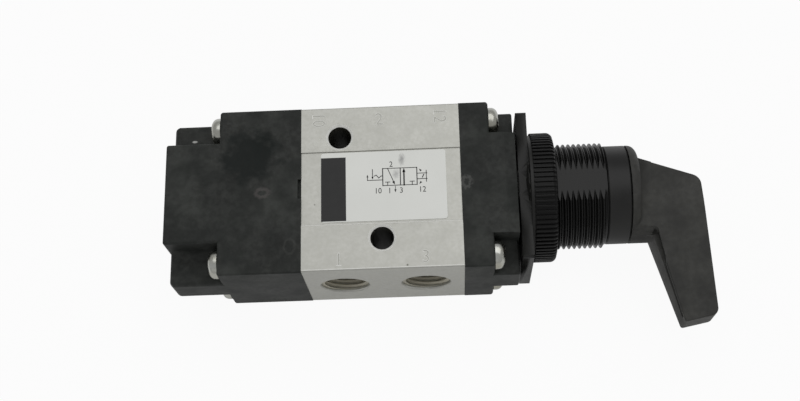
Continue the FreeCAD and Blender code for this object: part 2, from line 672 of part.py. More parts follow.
def make_panel_bush():
    stem = rod_x(STEM_R, BUSH_LEFT, -FLANGE_T)
    seat = rod_x(CLIP_RECESS_R - 0.3, ADAPTOR_END, -FLANGE_T)
    flange = box(-FLANGE_T, 0, -FLANGE_HALF_W, FLANGE_HALF_W, FLANGE_BOTTOM, FLANGE_TOP)
    flange = flange.makeFillet(FLANGE_CORNER_R, edges_where(
        flange, lambda p: near(abs(p.y), FLANGE_HALF_W)
        and (near(p.z, FLANGE_TOP) or near(p.z, FLANGE_BOTTOM))))
    covered = NUT_WASHER_T + NUT_LENGTH
    thread = turned([
        (-1, 0),
        (-1, THREAD_RELIEF_R - 2),
        (0, THREAD_RELIEF_R),
        (covered, THREAD_RELIEF_R),
        (covered, THREAD_R),
        (THREAD_LENGTH - THREAD_CHAMFER, THREAD_R),
        (THREAD_LENGTH, THREAD_R - THREAD_CHAMFER),
        (THREAD_LENGTH, 0),
    ])
    thread = thread.cut(box(0, THREAD_LENGTH + 1, -REACH, REACH, THREAD_FLAT_Z, REACH))
    key = box(ADAPTOR_STEP - 4, -FLANGE_T, -STEM_KEY_WIDTH / 2, STEM_KEY_WIDTH / 2,
              -STEM_R - STEM_KEY_HEIGHT + 0.1, -STEM_R + 2)
    bush = stem.fuse([seat, flange, thread, key])
    groove_x = BODY_RIGHT + CLIP_RECESS_DEPTH
    cutters = [
        rod_x(CAM_BORE_R, BUSH_LEFT - 1, SHOULDER_X),
        rod_x(SLEEVE_BORE_R, 0, SLEEVE_END + 2),
        rod_x(CLIP_BORE_R, SLEEVE_END, THREAD_LENGTH + 1),
        tube_x(CLIP_RECESS_R + 1, CLIP_GROOVE_R, groove_x - CLIP_T - 0.05, groove_x),
        tube_x(CORE_OUTER_R, CORE_INNER_R, CORE_START, THREAD_LENGTH + 1),
    ]
    half_key = KEY_WIDTH / 2 + KEY_FIT
    slot = rod_x(KEY_SLOT_R, BUSH_LEFT - 1, PLUNGER_KEY_RIGHT + 0.6)
    cutters.append(slot.common(box(BUSH_LEFT - 1, 0, -REACH, REACH, -half_key, half_key)))
    for cutter in cutters:
        bush = bush.cut(cutter)
    ribs = []
    for angle in (45, 135, 225, 315):
        rib = box(CORE_START - 0.5, CORE_RIB_END, CORE_INNER_R - 0.4, CORE_OUTER_R + 0.4,
                  -CORE_RIB_T / 2, CORE_RIB_T / 2)
        rib.rotate(Vec(0, 0, 0), X_AXIS, angle)
        ribs.append(rib)
    return bush.fuse(ribs)


def open_ring(r_out, r_in, x0, x1, gap):
    """Retaining ring with a gap at the top and two eyes beside it."""
    ring = tube_x(r_out, r_in, x0, x1)
    ring = ring.cut(box(x0 - 1, x1 + 1, -gap / 2, gap / 2, 0, r_out + 1))
    eye_r = (r_out - r_in) * 0.22
    eye_y = gap / 2 + (r_out - r_in) * 0.55
    eye_z = math.sqrt(((r_out + r_in) / 2) ** 2 - eye_y ** 2)
    for side in (-1, 1):
        ring = ring.cut(rod_x(eye_r, x0 - 1, x1 + 1, side * eye_y, eye_z))
    return ring


def make_bush_clip():
    x1 = BODY_RIGHT + CLIP_RECESS_DEPTH - 0.02
    return open_ring(CLIP_OUTER_R, CLIP_GROOVE_R + 0.03, x1 - CLIP_T + 0.02, x1, 5.0)


def make_bush_cover():
    cover = turned([
        (COVER_LEFT, COVER_ORING_BORE_R),
        (COVER_LEFT, COVER_R - COVER_EDGE),
        (COVER_LEFT + COVER_EDGE, COVER_R),
        (COVER_RIGHT - COVER_EDGE, COVER_R),
        (COVER_RIGHT, COVER_R - COVER_EDGE),
        (COVER_RIGHT, SPINDLE_R + 0.08),
        (COVER_ORING_END, SPINDLE_R + 0.08),
        (COVER_ORING_END, COVER_ORING_BORE_R),
    ])
    spigot = tube_x(SPIGOT_OUTER_R, SPIGOT_INNER_R, COVER_LEFT - SPIGOT_LENGTH, COVER_LEFT + 0.5)
    return cover.fuse(spigot)


# Spindle, its bearing and the face cam


def make_spindle_sleeve():
    return tube_x(SLEEVE_OUTER_R, SPINDLE_R + SPINDLE_RUNNING_FIT, SHOULDER_X + 0.1, SLEEVE_END - 0.1)


def make_thrust_washer():
    left = CAM_BASE_RIGHT + 0.01
    return tube_x(CAM_BORE_R - 0.3, SPINDLE_R + 0.3, left, left + WASHER_T)


def make_spindle():
    groove_end = ORING_GROOVE_X + ORING_GROOVE_WIDTH
    clip_end = CLIP_GROOVE_X + SPINDLE_CLIP_T + 0.1
    spindle = turned([
        (SPINDLE_LEFT, 0),
        (SPINDLE_LEFT, SPINDLE_R - 0.4),
        (SPINDLE_LEFT + 0.4, SPINDLE_R),
        (CLIP_GROOVE_X, SPINDLE_R),
        (CLIP_GROOVE_X, SPINDLE_CLIP_GROOVE_R),
        (clip_end, SPINDLE_CLIP_GROOVE_R),
        (clip_end, SPINDLE_R),
        (ORING_GROOVE_X, SPINDLE_R),
        (ORING_GROOVE_X, ORING_GROOVE_R),
        (groove_end, ORING_GROOVE_R),
        (groove_end, SPINDLE_R),
        (SPINDLE_RIGHT - 0.6, SPINDLE_R),
        (SPINDLE_RIGHT, SPINDLE_R - 0.6),
        (SPINDLE_RIGHT, 0),
    ])
    flat = box(SPINDLE_FLAT_START, SPINDLE_RIGHT + 1, -5, 5, -SPINDLE_R - 1, SPINDLE_FLAT_Z)
    spindle = spindle.cut(flat)
    middle = (CAM_BASE_LEFT + CAM_BASE_RIGHT) / 2
    hole = Part.makeCylinder(DRIVE_PIN_R + DRIVE_PIN_FIT, REACH, Vec(middle, -REACH / 2, 0), Y_AXIS)
    return spindle.cut(hole)


def make_spindle_clip():
    x0 = CLIP_GROOVE_X + 0.05
    return open_ring(SPINDLE_CLIP_R, SPINDLE_CLIP_GROOVE_R + 0.03, x0, x0 + SPINDLE_CLIP_T, 3.4)


def make_spindle_oring():
    x = ORING_GROOVE_X + ORING_GROOVE_WIDTH / 2
    return ring_of_wire(x, ORING_GROOVE_R + ORING_R + 0.03, ORING_R)


def make_drive_pin():
    middle = (CAM_BASE_LEFT + CAM_BASE_RIGHT) / 2
    return Part.makeCylinder(DRIVE_PIN_R, 2 * DRIVE_PIN_HALF, Vec(middle, -DRIVE_PIN_HALF, 0), Y_AXIS)


def flattened(ramp, height):
    """The same curve pressed flat at one height, so both stay in step round the axis."""
    curve = ramp.Curve.copy()
    for i in range(1, curve.NbPoles + 1):
        pole = curve.getPole(i)
        curve.setPole(i, Vec(pole.x, pole.y, height))
    return curve.toShape(ramp.FirstParameter, ramp.LastParameter)


def helical_half_ring(inner, outer, ramp_start, flat_at):
    """Half a turn of a ring with one flat face and one helical face.

    Built along +Z: the helical face starts at ramp_start and climbs
    CAM_RAMP_HEIGHT, turning left-handed. The flat face lies at flat_at.
    """
    curves = []
    for r in (inner, outer):
        ramp = Part.makeHelix(CAM_LEAD, CAM_RAMP_HEIGHT, r, 0, True).Edges[0]
        arc = flattened(ramp, flat_at)
        ramp.translate(Vec(0, 0, ramp_start))
        curves.append((arc, ramp))
    (arc_in, ramp_in), (arc_out, ramp_out) = curves
    loop = [arc_in, arc_out, ramp_out, ramp_in]
    same_way = 1
    faces = [Part.makeRuledSurface(loop[i], loop[i - 1], same_way) for i in range(4)]
    for at_start in (True, False):
        ends = [e.valueAt(e.FirstParameter if at_start else e.LastParameter) for e in loop]
        faces.append(Part.Face(Part.makePolygon(ends + [ends[0]])))
    shell = Part.makeShell(faces)
    shell.sewShape()
    solid = Part.makeSolid(shell)
    if solid.Volume < 0:
        solid.reverse()
    return solid


def helical_ring(inner, outer, ramp_start, flat_at):
    first = helical_half_ring(inner, outer, ramp_start, flat_at)
    second = first.copy()
    second.rotate(Vec(0, 0, 0), Z_AXIS, 180)
    return first.fuse(second)


def laid_along_minus_x(shape, x):
    """Turn a shape built along +Z so that it runs along -X from the given x."""
    shape.rotate(Vec(0, 0, 0), Y_AXIS, -90)
    shape.translate(Vec(x, 0, 0))
    return shape


def make_face_cam():
    """The driving half. Its teeth point along -X and its flat face is at the washer."""
    thickness = CAM_BASE_RIGHT - CAM_BASE_LEFT
    ring = helical_ring(SPINDLE_R + CAM_HUB_FIT, CAM_OUTER_R, 0, -thickness)
    cam = laid_along_minus_x(ring, CAM_BASE_LEFT)
    middle = (CAM_BASE_LEFT + CAM_BASE_RIGHT) / 2
    hole = Part.makeCylinder(DRIVE_PIN_R + DRIVE_PIN_FIT, REACH, Vec(middle, -REACH / 2, 0), Y_AXIS)
    return cam.cut(hole)


def make_cam_plunger():
    """The driven half: it follows the same helix, a small gap away along X."""
    late = CAM_LEAD * CAM_STEP_GAP_DEG / 360.0 + CAM_FACE_GAP
    ring = helical_ring(CAM_INNER_R, CAM_OUTER_R, late, CAM_BASE_LEFT - PLUNGER_LEFT)
    ring.rotate(Vec(0, 0, 0), Z_AXIS, -CAM_STEP_GAP_DEG)
    plunger = laid_along_minus_x(ring, CAM_BASE_LEFT)
    core_end = CAM_BASE_LEFT - CAM_RAMP_HEIGHT - late - PLUNGER_CORE_GAP
    core = rod_x((CAM_INNER_R + CAM_OUTER_R) / 2, PLUNGER_LEFT, core_end)
    half_key = KEY_WIDTH / 2
    keys = tube_x(PLUNGER_KEY_R, CAM_OUTER_R - 1, PLUNGER_LEFT, PLUNGER_KEY_RIGHT)
    keys = keys.common(box(PLUNGER_LEFT, PLUNGER_KEY_RIGHT, -REACH, REACH, -half_key, half_key))
    return plunger.fuse([core] + keys.Solids)


# Lever and its set screw


def arm_half_thickness(y):
    share = (ARM_TAPER_START_Y - y) / (ARM_TAPER_START_Y + ARM_LENGTH)
    return ARM_HALF_T_ROOT + share * (ARM_HALF_T_TIP - ARM_HALF_T_ROOT)


def prism(points, z0, z1):
    corners = [Vec(x, y, z0) for x, y in points]
    return Part.Face(Part.makePolygon(corners + [corners[0]])).extrude(Vec(0, 0, z1 - z0))


def arm_wedge(extra):
    """Slab whose top and bottom faces close in towards the tip, thinned by extra."""
    tip = -ARM_LENGTH
    far = tip - 1.0
    slope = (ARM_HALF_T_ROOT - ARM_HALF_T_TIP) / (ARM_TAPER_START_Y - tip)
    root_t = ARM_HALF_T_ROOT - extra
    far_t = ARM_HALF_T_TIP - slope - extra
    corners = [
        Vec(HUB_LEFT, HUB_R + 2, -root_t),
        Vec(HUB_LEFT, HUB_R + 2, root_t),
        Vec(HUB_LEFT, ARM_TAPER_START_Y, root_t),
        Vec(HUB_LEFT, far, far_t),
        Vec(HUB_LEFT, far, -far_t),
        Vec(HUB_LEFT, ARM_TAPER_START_Y, -root_t),
    ]
    return Part.Face(Part.makePolygon(corners + [corners[0]])).extrude(Vec(REACH, 0, 0))


def is_corner(point, corner):
    return near(point.x, corner[0]) and near(point.y, corner[1])


def inner_edge_x(y):
    """X of the arm's inner face, a straight line from its root to its tip."""
    share = (y - ARM_TIP_INNER[1]) / (ARM_ROOT_INNER[1] - ARM_TIP_INNER[1])
    return ARM_TIP_INNER[0] + share * (ARM_ROOT_INNER[0] - ARM_TIP_INNER[0])


def arm_rim(arm):
    """Edges round the arm's top and bottom faces, outside the hub."""
    rim = []
    for edge in arm.Edges:
        middle = edge.valueAt((edge.FirstParameter + edge.LastParameter) / 2)
        first = edge.Vertexes[0].Point
        last = edge.Vertexes[-1].Point
        upright = near(first.z, -last.z)
        across = near(first.y, last.y) and first.y > ARM_TIP_OUTER[1]
        if not upright and not across and middle.x > inner_edge_x(ARM_ROOT_HIDDEN_Y) + 0.1:
            rim.append(edge)
    return rim


def make_arm():
    arm = prism([
        ARM_BACK_START,
        ARM_BACK_CORNER,
        ARM_TIP_OUTER,
        ARM_TIP_INNER,
        (inner_edge_x(ARM_ROOT_HIDDEN_Y), ARM_ROOT_HIDDEN_Y),
        (HUB_LEFT + 0.4, ARM_ROOT_HIDDEN_Y),
    ], -REACH, REACH)
    for corner, r in ((ARM_BACK_CORNER, ARM_BACK_R), (ARM_TIP_OUTER, ARM_TIP_OUTER_R),
                      (ARM_TIP_INNER, ARM_TIP_INNER_R)):
        arm = arm.makeFillet(r, edges_where(arm, lambda p: is_corner(p, corner)))
    arm = arm.common(arm_wedge(0))
    bends = edges_where(
        arm, lambda p: near(p.y, ARM_TAPER_START_Y) and near(abs(p.z), ARM_HALF_T_ROOT))
    arm = arm.makeFillet(ARM_TAPER_BLEND_R, bends)
    return arm.makeFillet(ARM_EDGE_R, arm_rim(arm))


def make_arm_root():
    """Front half of the hub: it keeps the hub's radius up to the arm's inner face."""
    front = ARM_ROOT_INNER[0] + 0.3
    back_slope = (ARM_BACK_CORNER[1] - ARM_BACK_START[1]) / (ARM_BACK_CORNER[0] - ARM_BACK_START[0])
    root = prism([
        ARM_BACK_START,
        (front, ARM_BACK_START[1] + back_slope * (front - ARM_BACK_START[0])),
        (front, ARM_ROOT_INNER[1] - 1),
        (HUB_LEFT + 0.4, ARM_ROOT_INNER[1] - 1),
    ], -REACH, REACH)
    root = root.common(arm_wedge(0))
    return root.common(rod_x(HUB_R, HUB_LEFT, front))


def arm_slot():
    """Groove under the top edge of the arm's inner face."""
    dx = ARM_TIP_INNER[0] - ARM_ROOT_INNER[0]
    dy = ARM_TIP_INNER[1] - ARM_ROOT_INNER[1]
    length = math.hypot(dx, dy)
    along = Vec(dx / length, dy / length, 0)
    inward = Vec(-along.y, along.x, 0)
    root = Vec(ARM_ROOT_INNER[0], ARM_ROOT_INNER[1], 0)
    corners = []
    for s, height in ((-0.4, ARM_SLOT_HEIGHT_ROOT), (length - ARM_SLOT_END_GAP, ARM_SLOT_HEIGHT_TIP)):
        p = root + along * s - inward * 1.0
        top = arm_half_thickness(p.y) - ARM_SLOT_LIP
        corners.append((Vec(p.x, p.y, top), Vec(p.x, p.y, top - height)))
    (a, b), (d, c) = corners
    face = Part.Face(Part.makePolygon([a, b, c, d, a]))
    return face.extrude(inward * (ARM_SLOT_DEPTH + 1.0))


def arm_core():
    """Moulding pocket in the underside of the arm, split by two cross ribs."""
    w = ARM_CORE_WALL
    walls = [
        (ARM_ROOT_INNER[0] + w + 0.2, ARM_ROOT_INNER[1]),
        (ARM_BACK_CORNER[0] - w + 0.2, ARM_ROOT_INNER[1]),
        (ARM_TIP_OUTER[0] - w, ARM_TIP_OUTER[1] + w + 0.4),
        (ARM_TIP_INNER[0] + w - 0.3, ARM_TIP_INNER[1] + w + 0.4),
    ]
    under_roof = prism(walls, -REACH, REACH).common(arm_wedge(ARM_CORE_ROOF))
    pocket = under_roof.fuse(prism(walls, -REACH, 0))
    for y in ARM_CORE_RIB_Y:
        rib = box(0, REACH, y - ARM_CORE_RIB_T / 2, y + ARM_CORE_RIB_T / 2, -REACH, REACH)
        pocket = pocket.cut(rib)
    return pocket


def make_lever():
    hub = rod_x(HUB_R, HUB_LEFT, HUB_RIGHT)
    hub = hub.makeFillet(HUB_ROUND_R, edges_where(hub, lambda p: near(p.x, HUB_RIGHT)))
    lever = hub.fuse([make_arm_root(), make_arm()])
    lever = lever.removeSplitter()
    cutters = [
        arm_slot(),
        arm_core(),
        rod_x(SPINDLE_R + LEVER_BORE_FIT, HUB_LEFT - 1, SPINDLE_RIGHT + 0.3),
        Part.makeCylinder(GRUB_R + 0.03, REACH, Vec(GRUB_X, 0, GRUB_TOP + 0.1 - REACH), Z_AXIS),
    ]
    for cutter in cutters:
        lever = lever.cut(cutter)
    return lever


def make_grub_screw():
    length = GRUB_TOP - GRUB_BOTTOM
    screw = Part.makeCylinder(GRUB_R, length, Vec(GRUB_X, 0, GRUB_BOTTOM), Z_AXIS)
    screw = screw.makeChamfer(0.4, edges_where(screw, lambda p: near(p.z, GRUB_TOP)))
    r = GRUB_SOCKET_AF / math.sqrt(3)
    corners = []
    for i in range(6):
        a = math.radians(60 * i)
        corners.append((GRUB_X + r * math.cos(a), r * math.sin(a)))
    return screw.cut(prism(corners, GRUB_BOTTOM - 1, GRUB_BOTTOM + GRUB_SOCKET_DEPTH))


# Ring nut and washer


def make_nut_washer():
    fit = NUT_WASHER_FIT
    washer = rod_x(NUT_WASHER_R, 0.01, NUT_WASHER_T)
    hole = rod_x(THREAD_R + fit, -1, NUT_WASHER_T + 1)
    hole = hole.cut(box(-2, NUT_WASHER_T + 2, -REACH, REACH, THREAD_FLAT_Z + fit, REACH))
    return washer.cut(hole)


def make_ring_nut():
    x0 = NUT_WASHER_T + 0.02
    x1 = NUT_WASHER_T + NUT_LENGTH
    bore = THREAD_R + NUT_FIT
    nut = rod_x(NUT_R, x0, x1)
    nut = nut.makeChamfer(NUT_REAR_CHAMFER, edges_where(nut, lambda p: near(p.x, x0)))
    nut = nut.makeFillet(NUT_NOSE_R, edges_where(nut, lambda p: near(p.x, x1)))
    hole = turned([
        (x0 - 1, 0),
        (x0 - 1, bore + 1.5),
        (x0 + 0.5, bore),
        (x1 - 0.5, bore),
        (x1 + 1, bore + 1.5),
        (x1 + 1, 0),
    ])
    return nut.cut(hole)


PIECES = {
    "valve_body": make_valve_body,
    "body_label": make_label,
    "return_cap": make_return_cap,
    "return_cap_screws": lambda: make_cap_screws(RETURN_STEP, LEFT_SCREW_LENGTH, -1),
    "adaptor_cap": make_adaptor_cap,
    "adaptor_cap_screws": lambda: make_cap_screws(ADAPTOR_STEP, RIGHT_SCREW_LENGTH, 1),
    "panel_bush": make_panel_bush,
    "bush_cover": make_bush_cover,
    "bush_clip": make_bush_clip,
    "spindle_sleeve": make_spindle_sleeve,
    "thrust_washer": make_thrust_washer,
    "port_cages": make_port_cages,
    "end_rings": make_end_rings,
    "spool_seals": make_spool_seals,
    "cap_seal": make_cap_seal,
    "return_spring": make_return_spring,
    "spool": make_spool,
    "spring_seat": make_spring_seat,
    "cam_plunger": make_cam_plunger,
    "face_cam": make_face_cam,
    "drive_pin": make_drive_pin,
    "spindle": make_spindle,
    "spindle_clip": make_spindle_clip,
    "spindle_oring": make_spindle_oring,
    "lever": make_lever,
    "lever_grub_screw": make_grub_screw,
    "nut_washer": make_nut_washer,
    "ring_nut": make_ring_nut,
}

for name, make in PIECES.items():
    piece = make()
    piece.translate(STORED_FRAME_SHIFT)
    print(name, "solids", len(piece.Solids), "volume", round(piece.Volume, 1), "valid", piece.isValid())
    piece.exportStep("parts/" + name + ".step")
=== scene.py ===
# %% [markdown]
# # A hand-lever spool valve
#
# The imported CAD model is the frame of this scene. It is loaded first, and nothing in it
# is moved. Blender adds what a plain solid leaves out: the cut threads, the knurl on the
# ring nut, the stamped port numbers, the print on the label, and the surface of every part.
#
# Everything is in metres here, so lengths are written as a number of `MM`.

import json
from math import atan2, cos, pi, radians, sin, sqrt

import bmesh
import bpy
from mathutils import Matrix, Vector


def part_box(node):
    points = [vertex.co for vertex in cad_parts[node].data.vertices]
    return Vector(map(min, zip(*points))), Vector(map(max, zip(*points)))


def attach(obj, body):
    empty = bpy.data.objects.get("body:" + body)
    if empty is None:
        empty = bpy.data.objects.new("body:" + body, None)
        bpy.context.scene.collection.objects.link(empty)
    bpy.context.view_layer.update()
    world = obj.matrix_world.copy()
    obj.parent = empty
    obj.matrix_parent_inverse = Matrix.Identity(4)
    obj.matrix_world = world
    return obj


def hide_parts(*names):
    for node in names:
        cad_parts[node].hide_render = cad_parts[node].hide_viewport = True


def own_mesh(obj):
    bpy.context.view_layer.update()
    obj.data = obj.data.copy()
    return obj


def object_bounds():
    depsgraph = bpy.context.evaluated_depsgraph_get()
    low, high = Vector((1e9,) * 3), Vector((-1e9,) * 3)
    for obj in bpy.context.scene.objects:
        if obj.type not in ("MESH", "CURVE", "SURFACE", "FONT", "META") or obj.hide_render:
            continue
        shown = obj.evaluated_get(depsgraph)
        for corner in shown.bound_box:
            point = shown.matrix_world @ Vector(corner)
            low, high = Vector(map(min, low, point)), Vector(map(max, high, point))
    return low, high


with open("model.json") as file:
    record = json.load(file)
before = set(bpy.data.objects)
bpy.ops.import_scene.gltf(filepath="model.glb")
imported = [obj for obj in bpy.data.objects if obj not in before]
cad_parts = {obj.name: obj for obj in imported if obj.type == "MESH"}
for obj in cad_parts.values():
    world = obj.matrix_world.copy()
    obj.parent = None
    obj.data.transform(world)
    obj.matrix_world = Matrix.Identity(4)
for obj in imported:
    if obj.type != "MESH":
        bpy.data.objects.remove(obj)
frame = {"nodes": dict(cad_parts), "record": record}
cad_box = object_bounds()
nodes = frame["nodes"]
MM = 0.001
print("CAD box in mm:", [[round(v / MM, 1) for v in corner] for corner in cad_box])

# %% [markdown]
# ## Small helpers
#
# Every new piece starts as an empty bmesh and is shaped by operators. When it is done it
# becomes an object at the origin, with its place in its mesh, and it rides on the CAD
# body that carries it. The helpers below could be left out and their lines repeated at
# each piece, but then every repeat could hold its own mistake.

# %% Finish a bmesh as a piece
slots_of = {}


def finished(bm, name, body, slot, smooth_below=30):
    """Turns a bmesh into a piece that rides on a body and takes a material slot."""
    bmesh.ops.remove_doubles(bm, verts=bm.verts, dist=0.0005 * MM)
    bmesh.ops.recalc_face_normals(bm, faces=bm.faces)
    mesh = bpy.data.meshes.new(name)
    bm.to_mesh(mesh)
    bm.free()
    mesh.shade_smooth()
    mesh.set_sharp_from_angle(angle=radians(smooth_below))
    piece = bpy.data.objects.new(name, mesh)
    bpy.context.scene.collection.objects.link(piece)
    flatter = piece.modifiers.new("keep flat faces flat", "WEIGHTED_NORMAL")
    flatter.keep_sharp = True
    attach(piece, body)
    slots_of[piece.name] = slot
    print(name, "faces:", len(mesh.polygons))
    return piece


print("pieces made so far:", len(slots_of))

# %% [markdown]
# Most pieces here grow from an outline. A face is right for something that is extruded or wound.
# For something that is turned all the way round, only its edges are drawn, because a full spin of
# a face would leave that face inside the finished piece.

# %% Draw an outline and turn it
def outline(bm, points):
    """One face in the XZ plane through the given (x, z) points, in mm."""
    corners = [bm.verts.new((x * MM, 0, z * MM)) for x, z in points]
    return bm.faces.new(corners)


def whole(bm):
    return list(bm.verts) + list(bm.edges) + list(bm.faces)


def wire(bm, corners, closed=True):
    """Only the edges through some corners, for a shape that is turned."""
    verts = [bm.verts.new(c) for c in corners]
    ends = verts[1:] + verts[:1] if closed else verts[1:]
    return [bm.edges.new(pair) for pair in zip(verts, ends)]


def turned(bm, axis, steps):
    """Spins everything in the bmesh once round an axis through the origin."""
    bmesh.ops.spin(
        bm, geom=whole(bm), cent=(0, 0, 0), axis=axis,
        angle=2 * pi, steps=steps, use_merge=True)
    bmesh.ops.recalc_face_normals(bm, faces=bm.faces)


print("nodes in the frame:", len(nodes))

# %% [markdown]
# ## Cut threads
#
# A thread is one rib, wound round its core like a spring. `bmesh.ops.spin` winds it when it is
# given a `dvec`: each step turns the outline a little and also moves it along the axis. The
# two ragged ends are then cut square with `bisect_plane`. A cut through a thread leaves many
# separate loops, so there `edgeloop_fill` closes each loop by itself. A bump in the material
# could draw the thread too, but its crests show against the floor, so it is real shape.

# %% Wind a rib round the X axis
THREAD_STEPS = 96


def cut_square(bm, at, normal):
    """Cuts away what lies beyond a plane, and closes the cut."""
    result = bmesh.ops.bisect_plane(
        bm, geom=whole(bm), plane_co=at, plane_no=normal, clear_outer=True)
    edges = [g for g in result["geom_cut"] if isinstance(g, bmesh.types.BMEdge)]
    bmesh.ops.edgeloop_fill(bm, edges=edges)


def wound_rib(bm, rib, start, end, pitch):
    """Winds a rib outline, right-handed, from start to end along X, in mm."""
    turns = (end - start) / pitch + 2
    outline(bm, [(x + start - pitch, r) for x, r in rib])
    bmesh.ops.spin(
        bm, geom=whole(bm), cent=(0, 0, 0), axis=(1, 0, 0),
        dvec=(pitch * MM / THREAD_STEPS, 0, 0),
        angle=turns * 2 * pi, steps=round(turns * THREAD_STEPS))
    bmesh.ops.recalc_face_normals(bm, faces=bm.faces)
    cut_square(bm, (start * MM, 0, 0), (-1, 0, 0))
    cut_square(bm, (end * MM, 0, 0), (1, 0, 0))


print("steps in one turn of a thread:", THREAD_STEPS)

# %% [markdown]
# ## The panel bush
#
# The bush is one moulding: a rectangular flange, and a nose with a coarse panel thread that has
# one flat along its top. The CAD model shows the thread as a plain cylinder, so the bush
# is split at the flange. The flange is a copy of the CAD mesh, and the nose is turned
# here from an outline, with the thread wound round it.

# %% Measure the bush in the frame
bush_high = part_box("panel_bush")[1]
nut_low, nut_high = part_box("ring_nut")
washer_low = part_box("nut_washer")[0]
THREAD_R = 15.0
THREAD_PITCH = 1.5
THREAD_DEPTH = 0.92
THREAD_FLAT_Z = 13.8
flange_face = washer_low.x / MM - 0.01
thread_end = bush_high.x / MM
print("flange face at", round(flange_face, 2), "thread ends at", round(thread_end, 2))

# %% [markdown]
# The CAD node's own mesh is never changed. A copy of it is loose triangles, so its doubles are
# merged before anything cuts it.

# %% Keep the flange and the stem of the bush
SPLIT_AT = flange_face + 0.25


def merged_copy(node):
    """A copy of a CAD node's mesh, merged and ready to cut."""
    bm = bmesh.new()
    bm.from_mesh(nodes[node].data)
    bmesh.ops.remove_doubles(bm, verts=bm.verts, dist=0.001 * MM)
    return bm


bm = merged_copy("panel_bush")
bmesh.ops.bisect_plane(
    bm, geom=whole(bm), plane_co=(SPLIT_AT * MM, 0, 0), plane_no=(1, 0, 0), clear_outer=True)
bush_flange = finished(bm, "bush_flange", "valve", "bush_plastic")

# %% [markdown]
# The nose is the same all round, so it is turned from the edges of its outline. The flat is cut
# after the turning, once through the nose and once through the thread, a hair higher.

# %% Turn the nose
root = THREAD_R - THREAD_DEPTH
NOSE_BORE = 12.4
bm = bmesh.new()
wire(bm, [(x * MM, 0, r * MM) for x, r in (
    (SPLIT_AT, NOSE_BORE), (thread_end, NOSE_BORE), (thread_end, root - 0.1),
    (thread_end - 0.3, root), (SPLIT_AT, root))])
turned(bm, (1, 0, 0), 2 * THREAD_STEPS)
cut_square(bm, (0, 0, (THREAD_FLAT_Z - 0.01) * MM), (0, 0, 1))
nose = finished(bm, "bush_nose", "valve", "bush_plastic")

# %% [markdown]
# The thread's crests are sharp and 1.5 mm apart. The rib's outline is a steep ridge with a tiny
# flat on top, and its foot is sunk into the nose so that no gap shows. The nose could be turned
# with plain grooves instead, but then the crests wouldn't climb as those of a thread do.

# %% Wind the thread round it
bm = bmesh.new()
half = THREAD_PITCH / 2
crest = THREAD_R - 0.07
rib = [(-half + 0.04, root - 0.15), (-half + 0.1, root), (-0.15, crest), (-0.06, THREAD_R),
       (0.06, THREAD_R), (0.15, crest), (half - 0.1, root), (half - 0.04, root - 0.15)]
wound_rib(bm, rib, SPLIT_AT, thread_end - 0.35, THREAD_PITCH)
cut_square(bm, (0, 0, THREAD_FLAT_Z * MM), (0, 0, 1))
thread = finished(bm, "bush_thread", "valve", "bush_plastic", smooth_below=40)
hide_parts("panel_bush")
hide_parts("panel_bush")
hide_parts("panel_bush")

# %% [markdown]
# ## The ring nut
#
# The nut is a smooth ring with 81 straight ribs round it. One rib is an outline of the ring's
# own section, a little prouder, given a width and soft top edges. `spin` with
# `use_duplicate` then repeats it round the axis. An array modifier could do that as well,
# but a spin leaves one plain mesh with nothing still to work out.

# %% Turn the ring
NUT_RIBS = 81
NUT_R = 18.5
RIB_HEIGHT = 0.5
NUT_NOSE = 1.6
nut_left = nut_low.x / MM
nut_right = nut_high.x / MM


def nose_arc(radius, outer, count=6):
    """The rounded outer corner of the nut's right end, as (x, r) points."""
    points = []
    for i in range(count + 1):
        a = pi / 2 * i / count
        points.append((nut_right - radius + radius * sin(a), outer - radius + radius * cos(a)))
    return points


bm = bmesh.new()
floor_r = NUT_R - RIB_HEIGHT
section = [(nut_left, THREAD_R + 0.6), (nut_left, floor_r)]
section += nose_arc(NUT_NOSE, floor_r)
section += [(nut_right, THREAD_R + 0.9), (nut_right - 0.8, THREAD_R + 0.1)]
section += [(nut_left + 0.5, THREAD_R + 0.1)]
wire(bm, [(x * MM, 0, r * MM) for x, r in section])
turned(bm, (1, 0, 0), 2 * NUT_RIBS)
ring = finished(bm, "nut_ring", "nut", "nut_plastic")
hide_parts("ring_nut")

# %% [markdown]
# A rib stands half a millimetre proud and follows the ring's rounded corner. Only its outer edges
# are bevelled, so each rib catches a thin line of light. A bevel modifier would also round the
# edges that are sunk in the ring, and cost many triangles.

# %% Shape one rib and repeat it
RIB_WIDTH = 0.78
RIB_SOFT = 0.24


def pushed_out(bm, faces, by):
    """Extrudes faces along a vector, and keeps the faces they start from."""
    grown = bmesh.ops.extrude_face_region(bm, geom=faces, use_keep_orig=True)
    moved = [g for g in grown["geom"] if isinstance(g, bmesh.types.BMVert)]
    bmesh.ops.translate(bm, verts=moved, vec=by)


bm = bmesh.new()
arc = nose_arc(NUT_NOSE + 0.1, NUT_R)[:-2]
rib_outline = [(nut_left + 0.05, floor_r - 0.3), (nut_left + 0.05, NUT_R - 0.15)]
rib_outline += [(nut_left + 0.2, NUT_R)]
rib_outline += arc
rib_outline += [(arc[-1][0] - 0.3, floor_r - 1.2), (nut_left + 1.0, floor_r - 0.3)]
face = outline(bm, rib_outline)
pushed_out(bm, [face], (0, RIB_WIDTH * MM, 0))
bmesh.ops.translate(bm, verts=bm.verts, vec=(0, -RIB_WIDTH * MM / 2, 0))

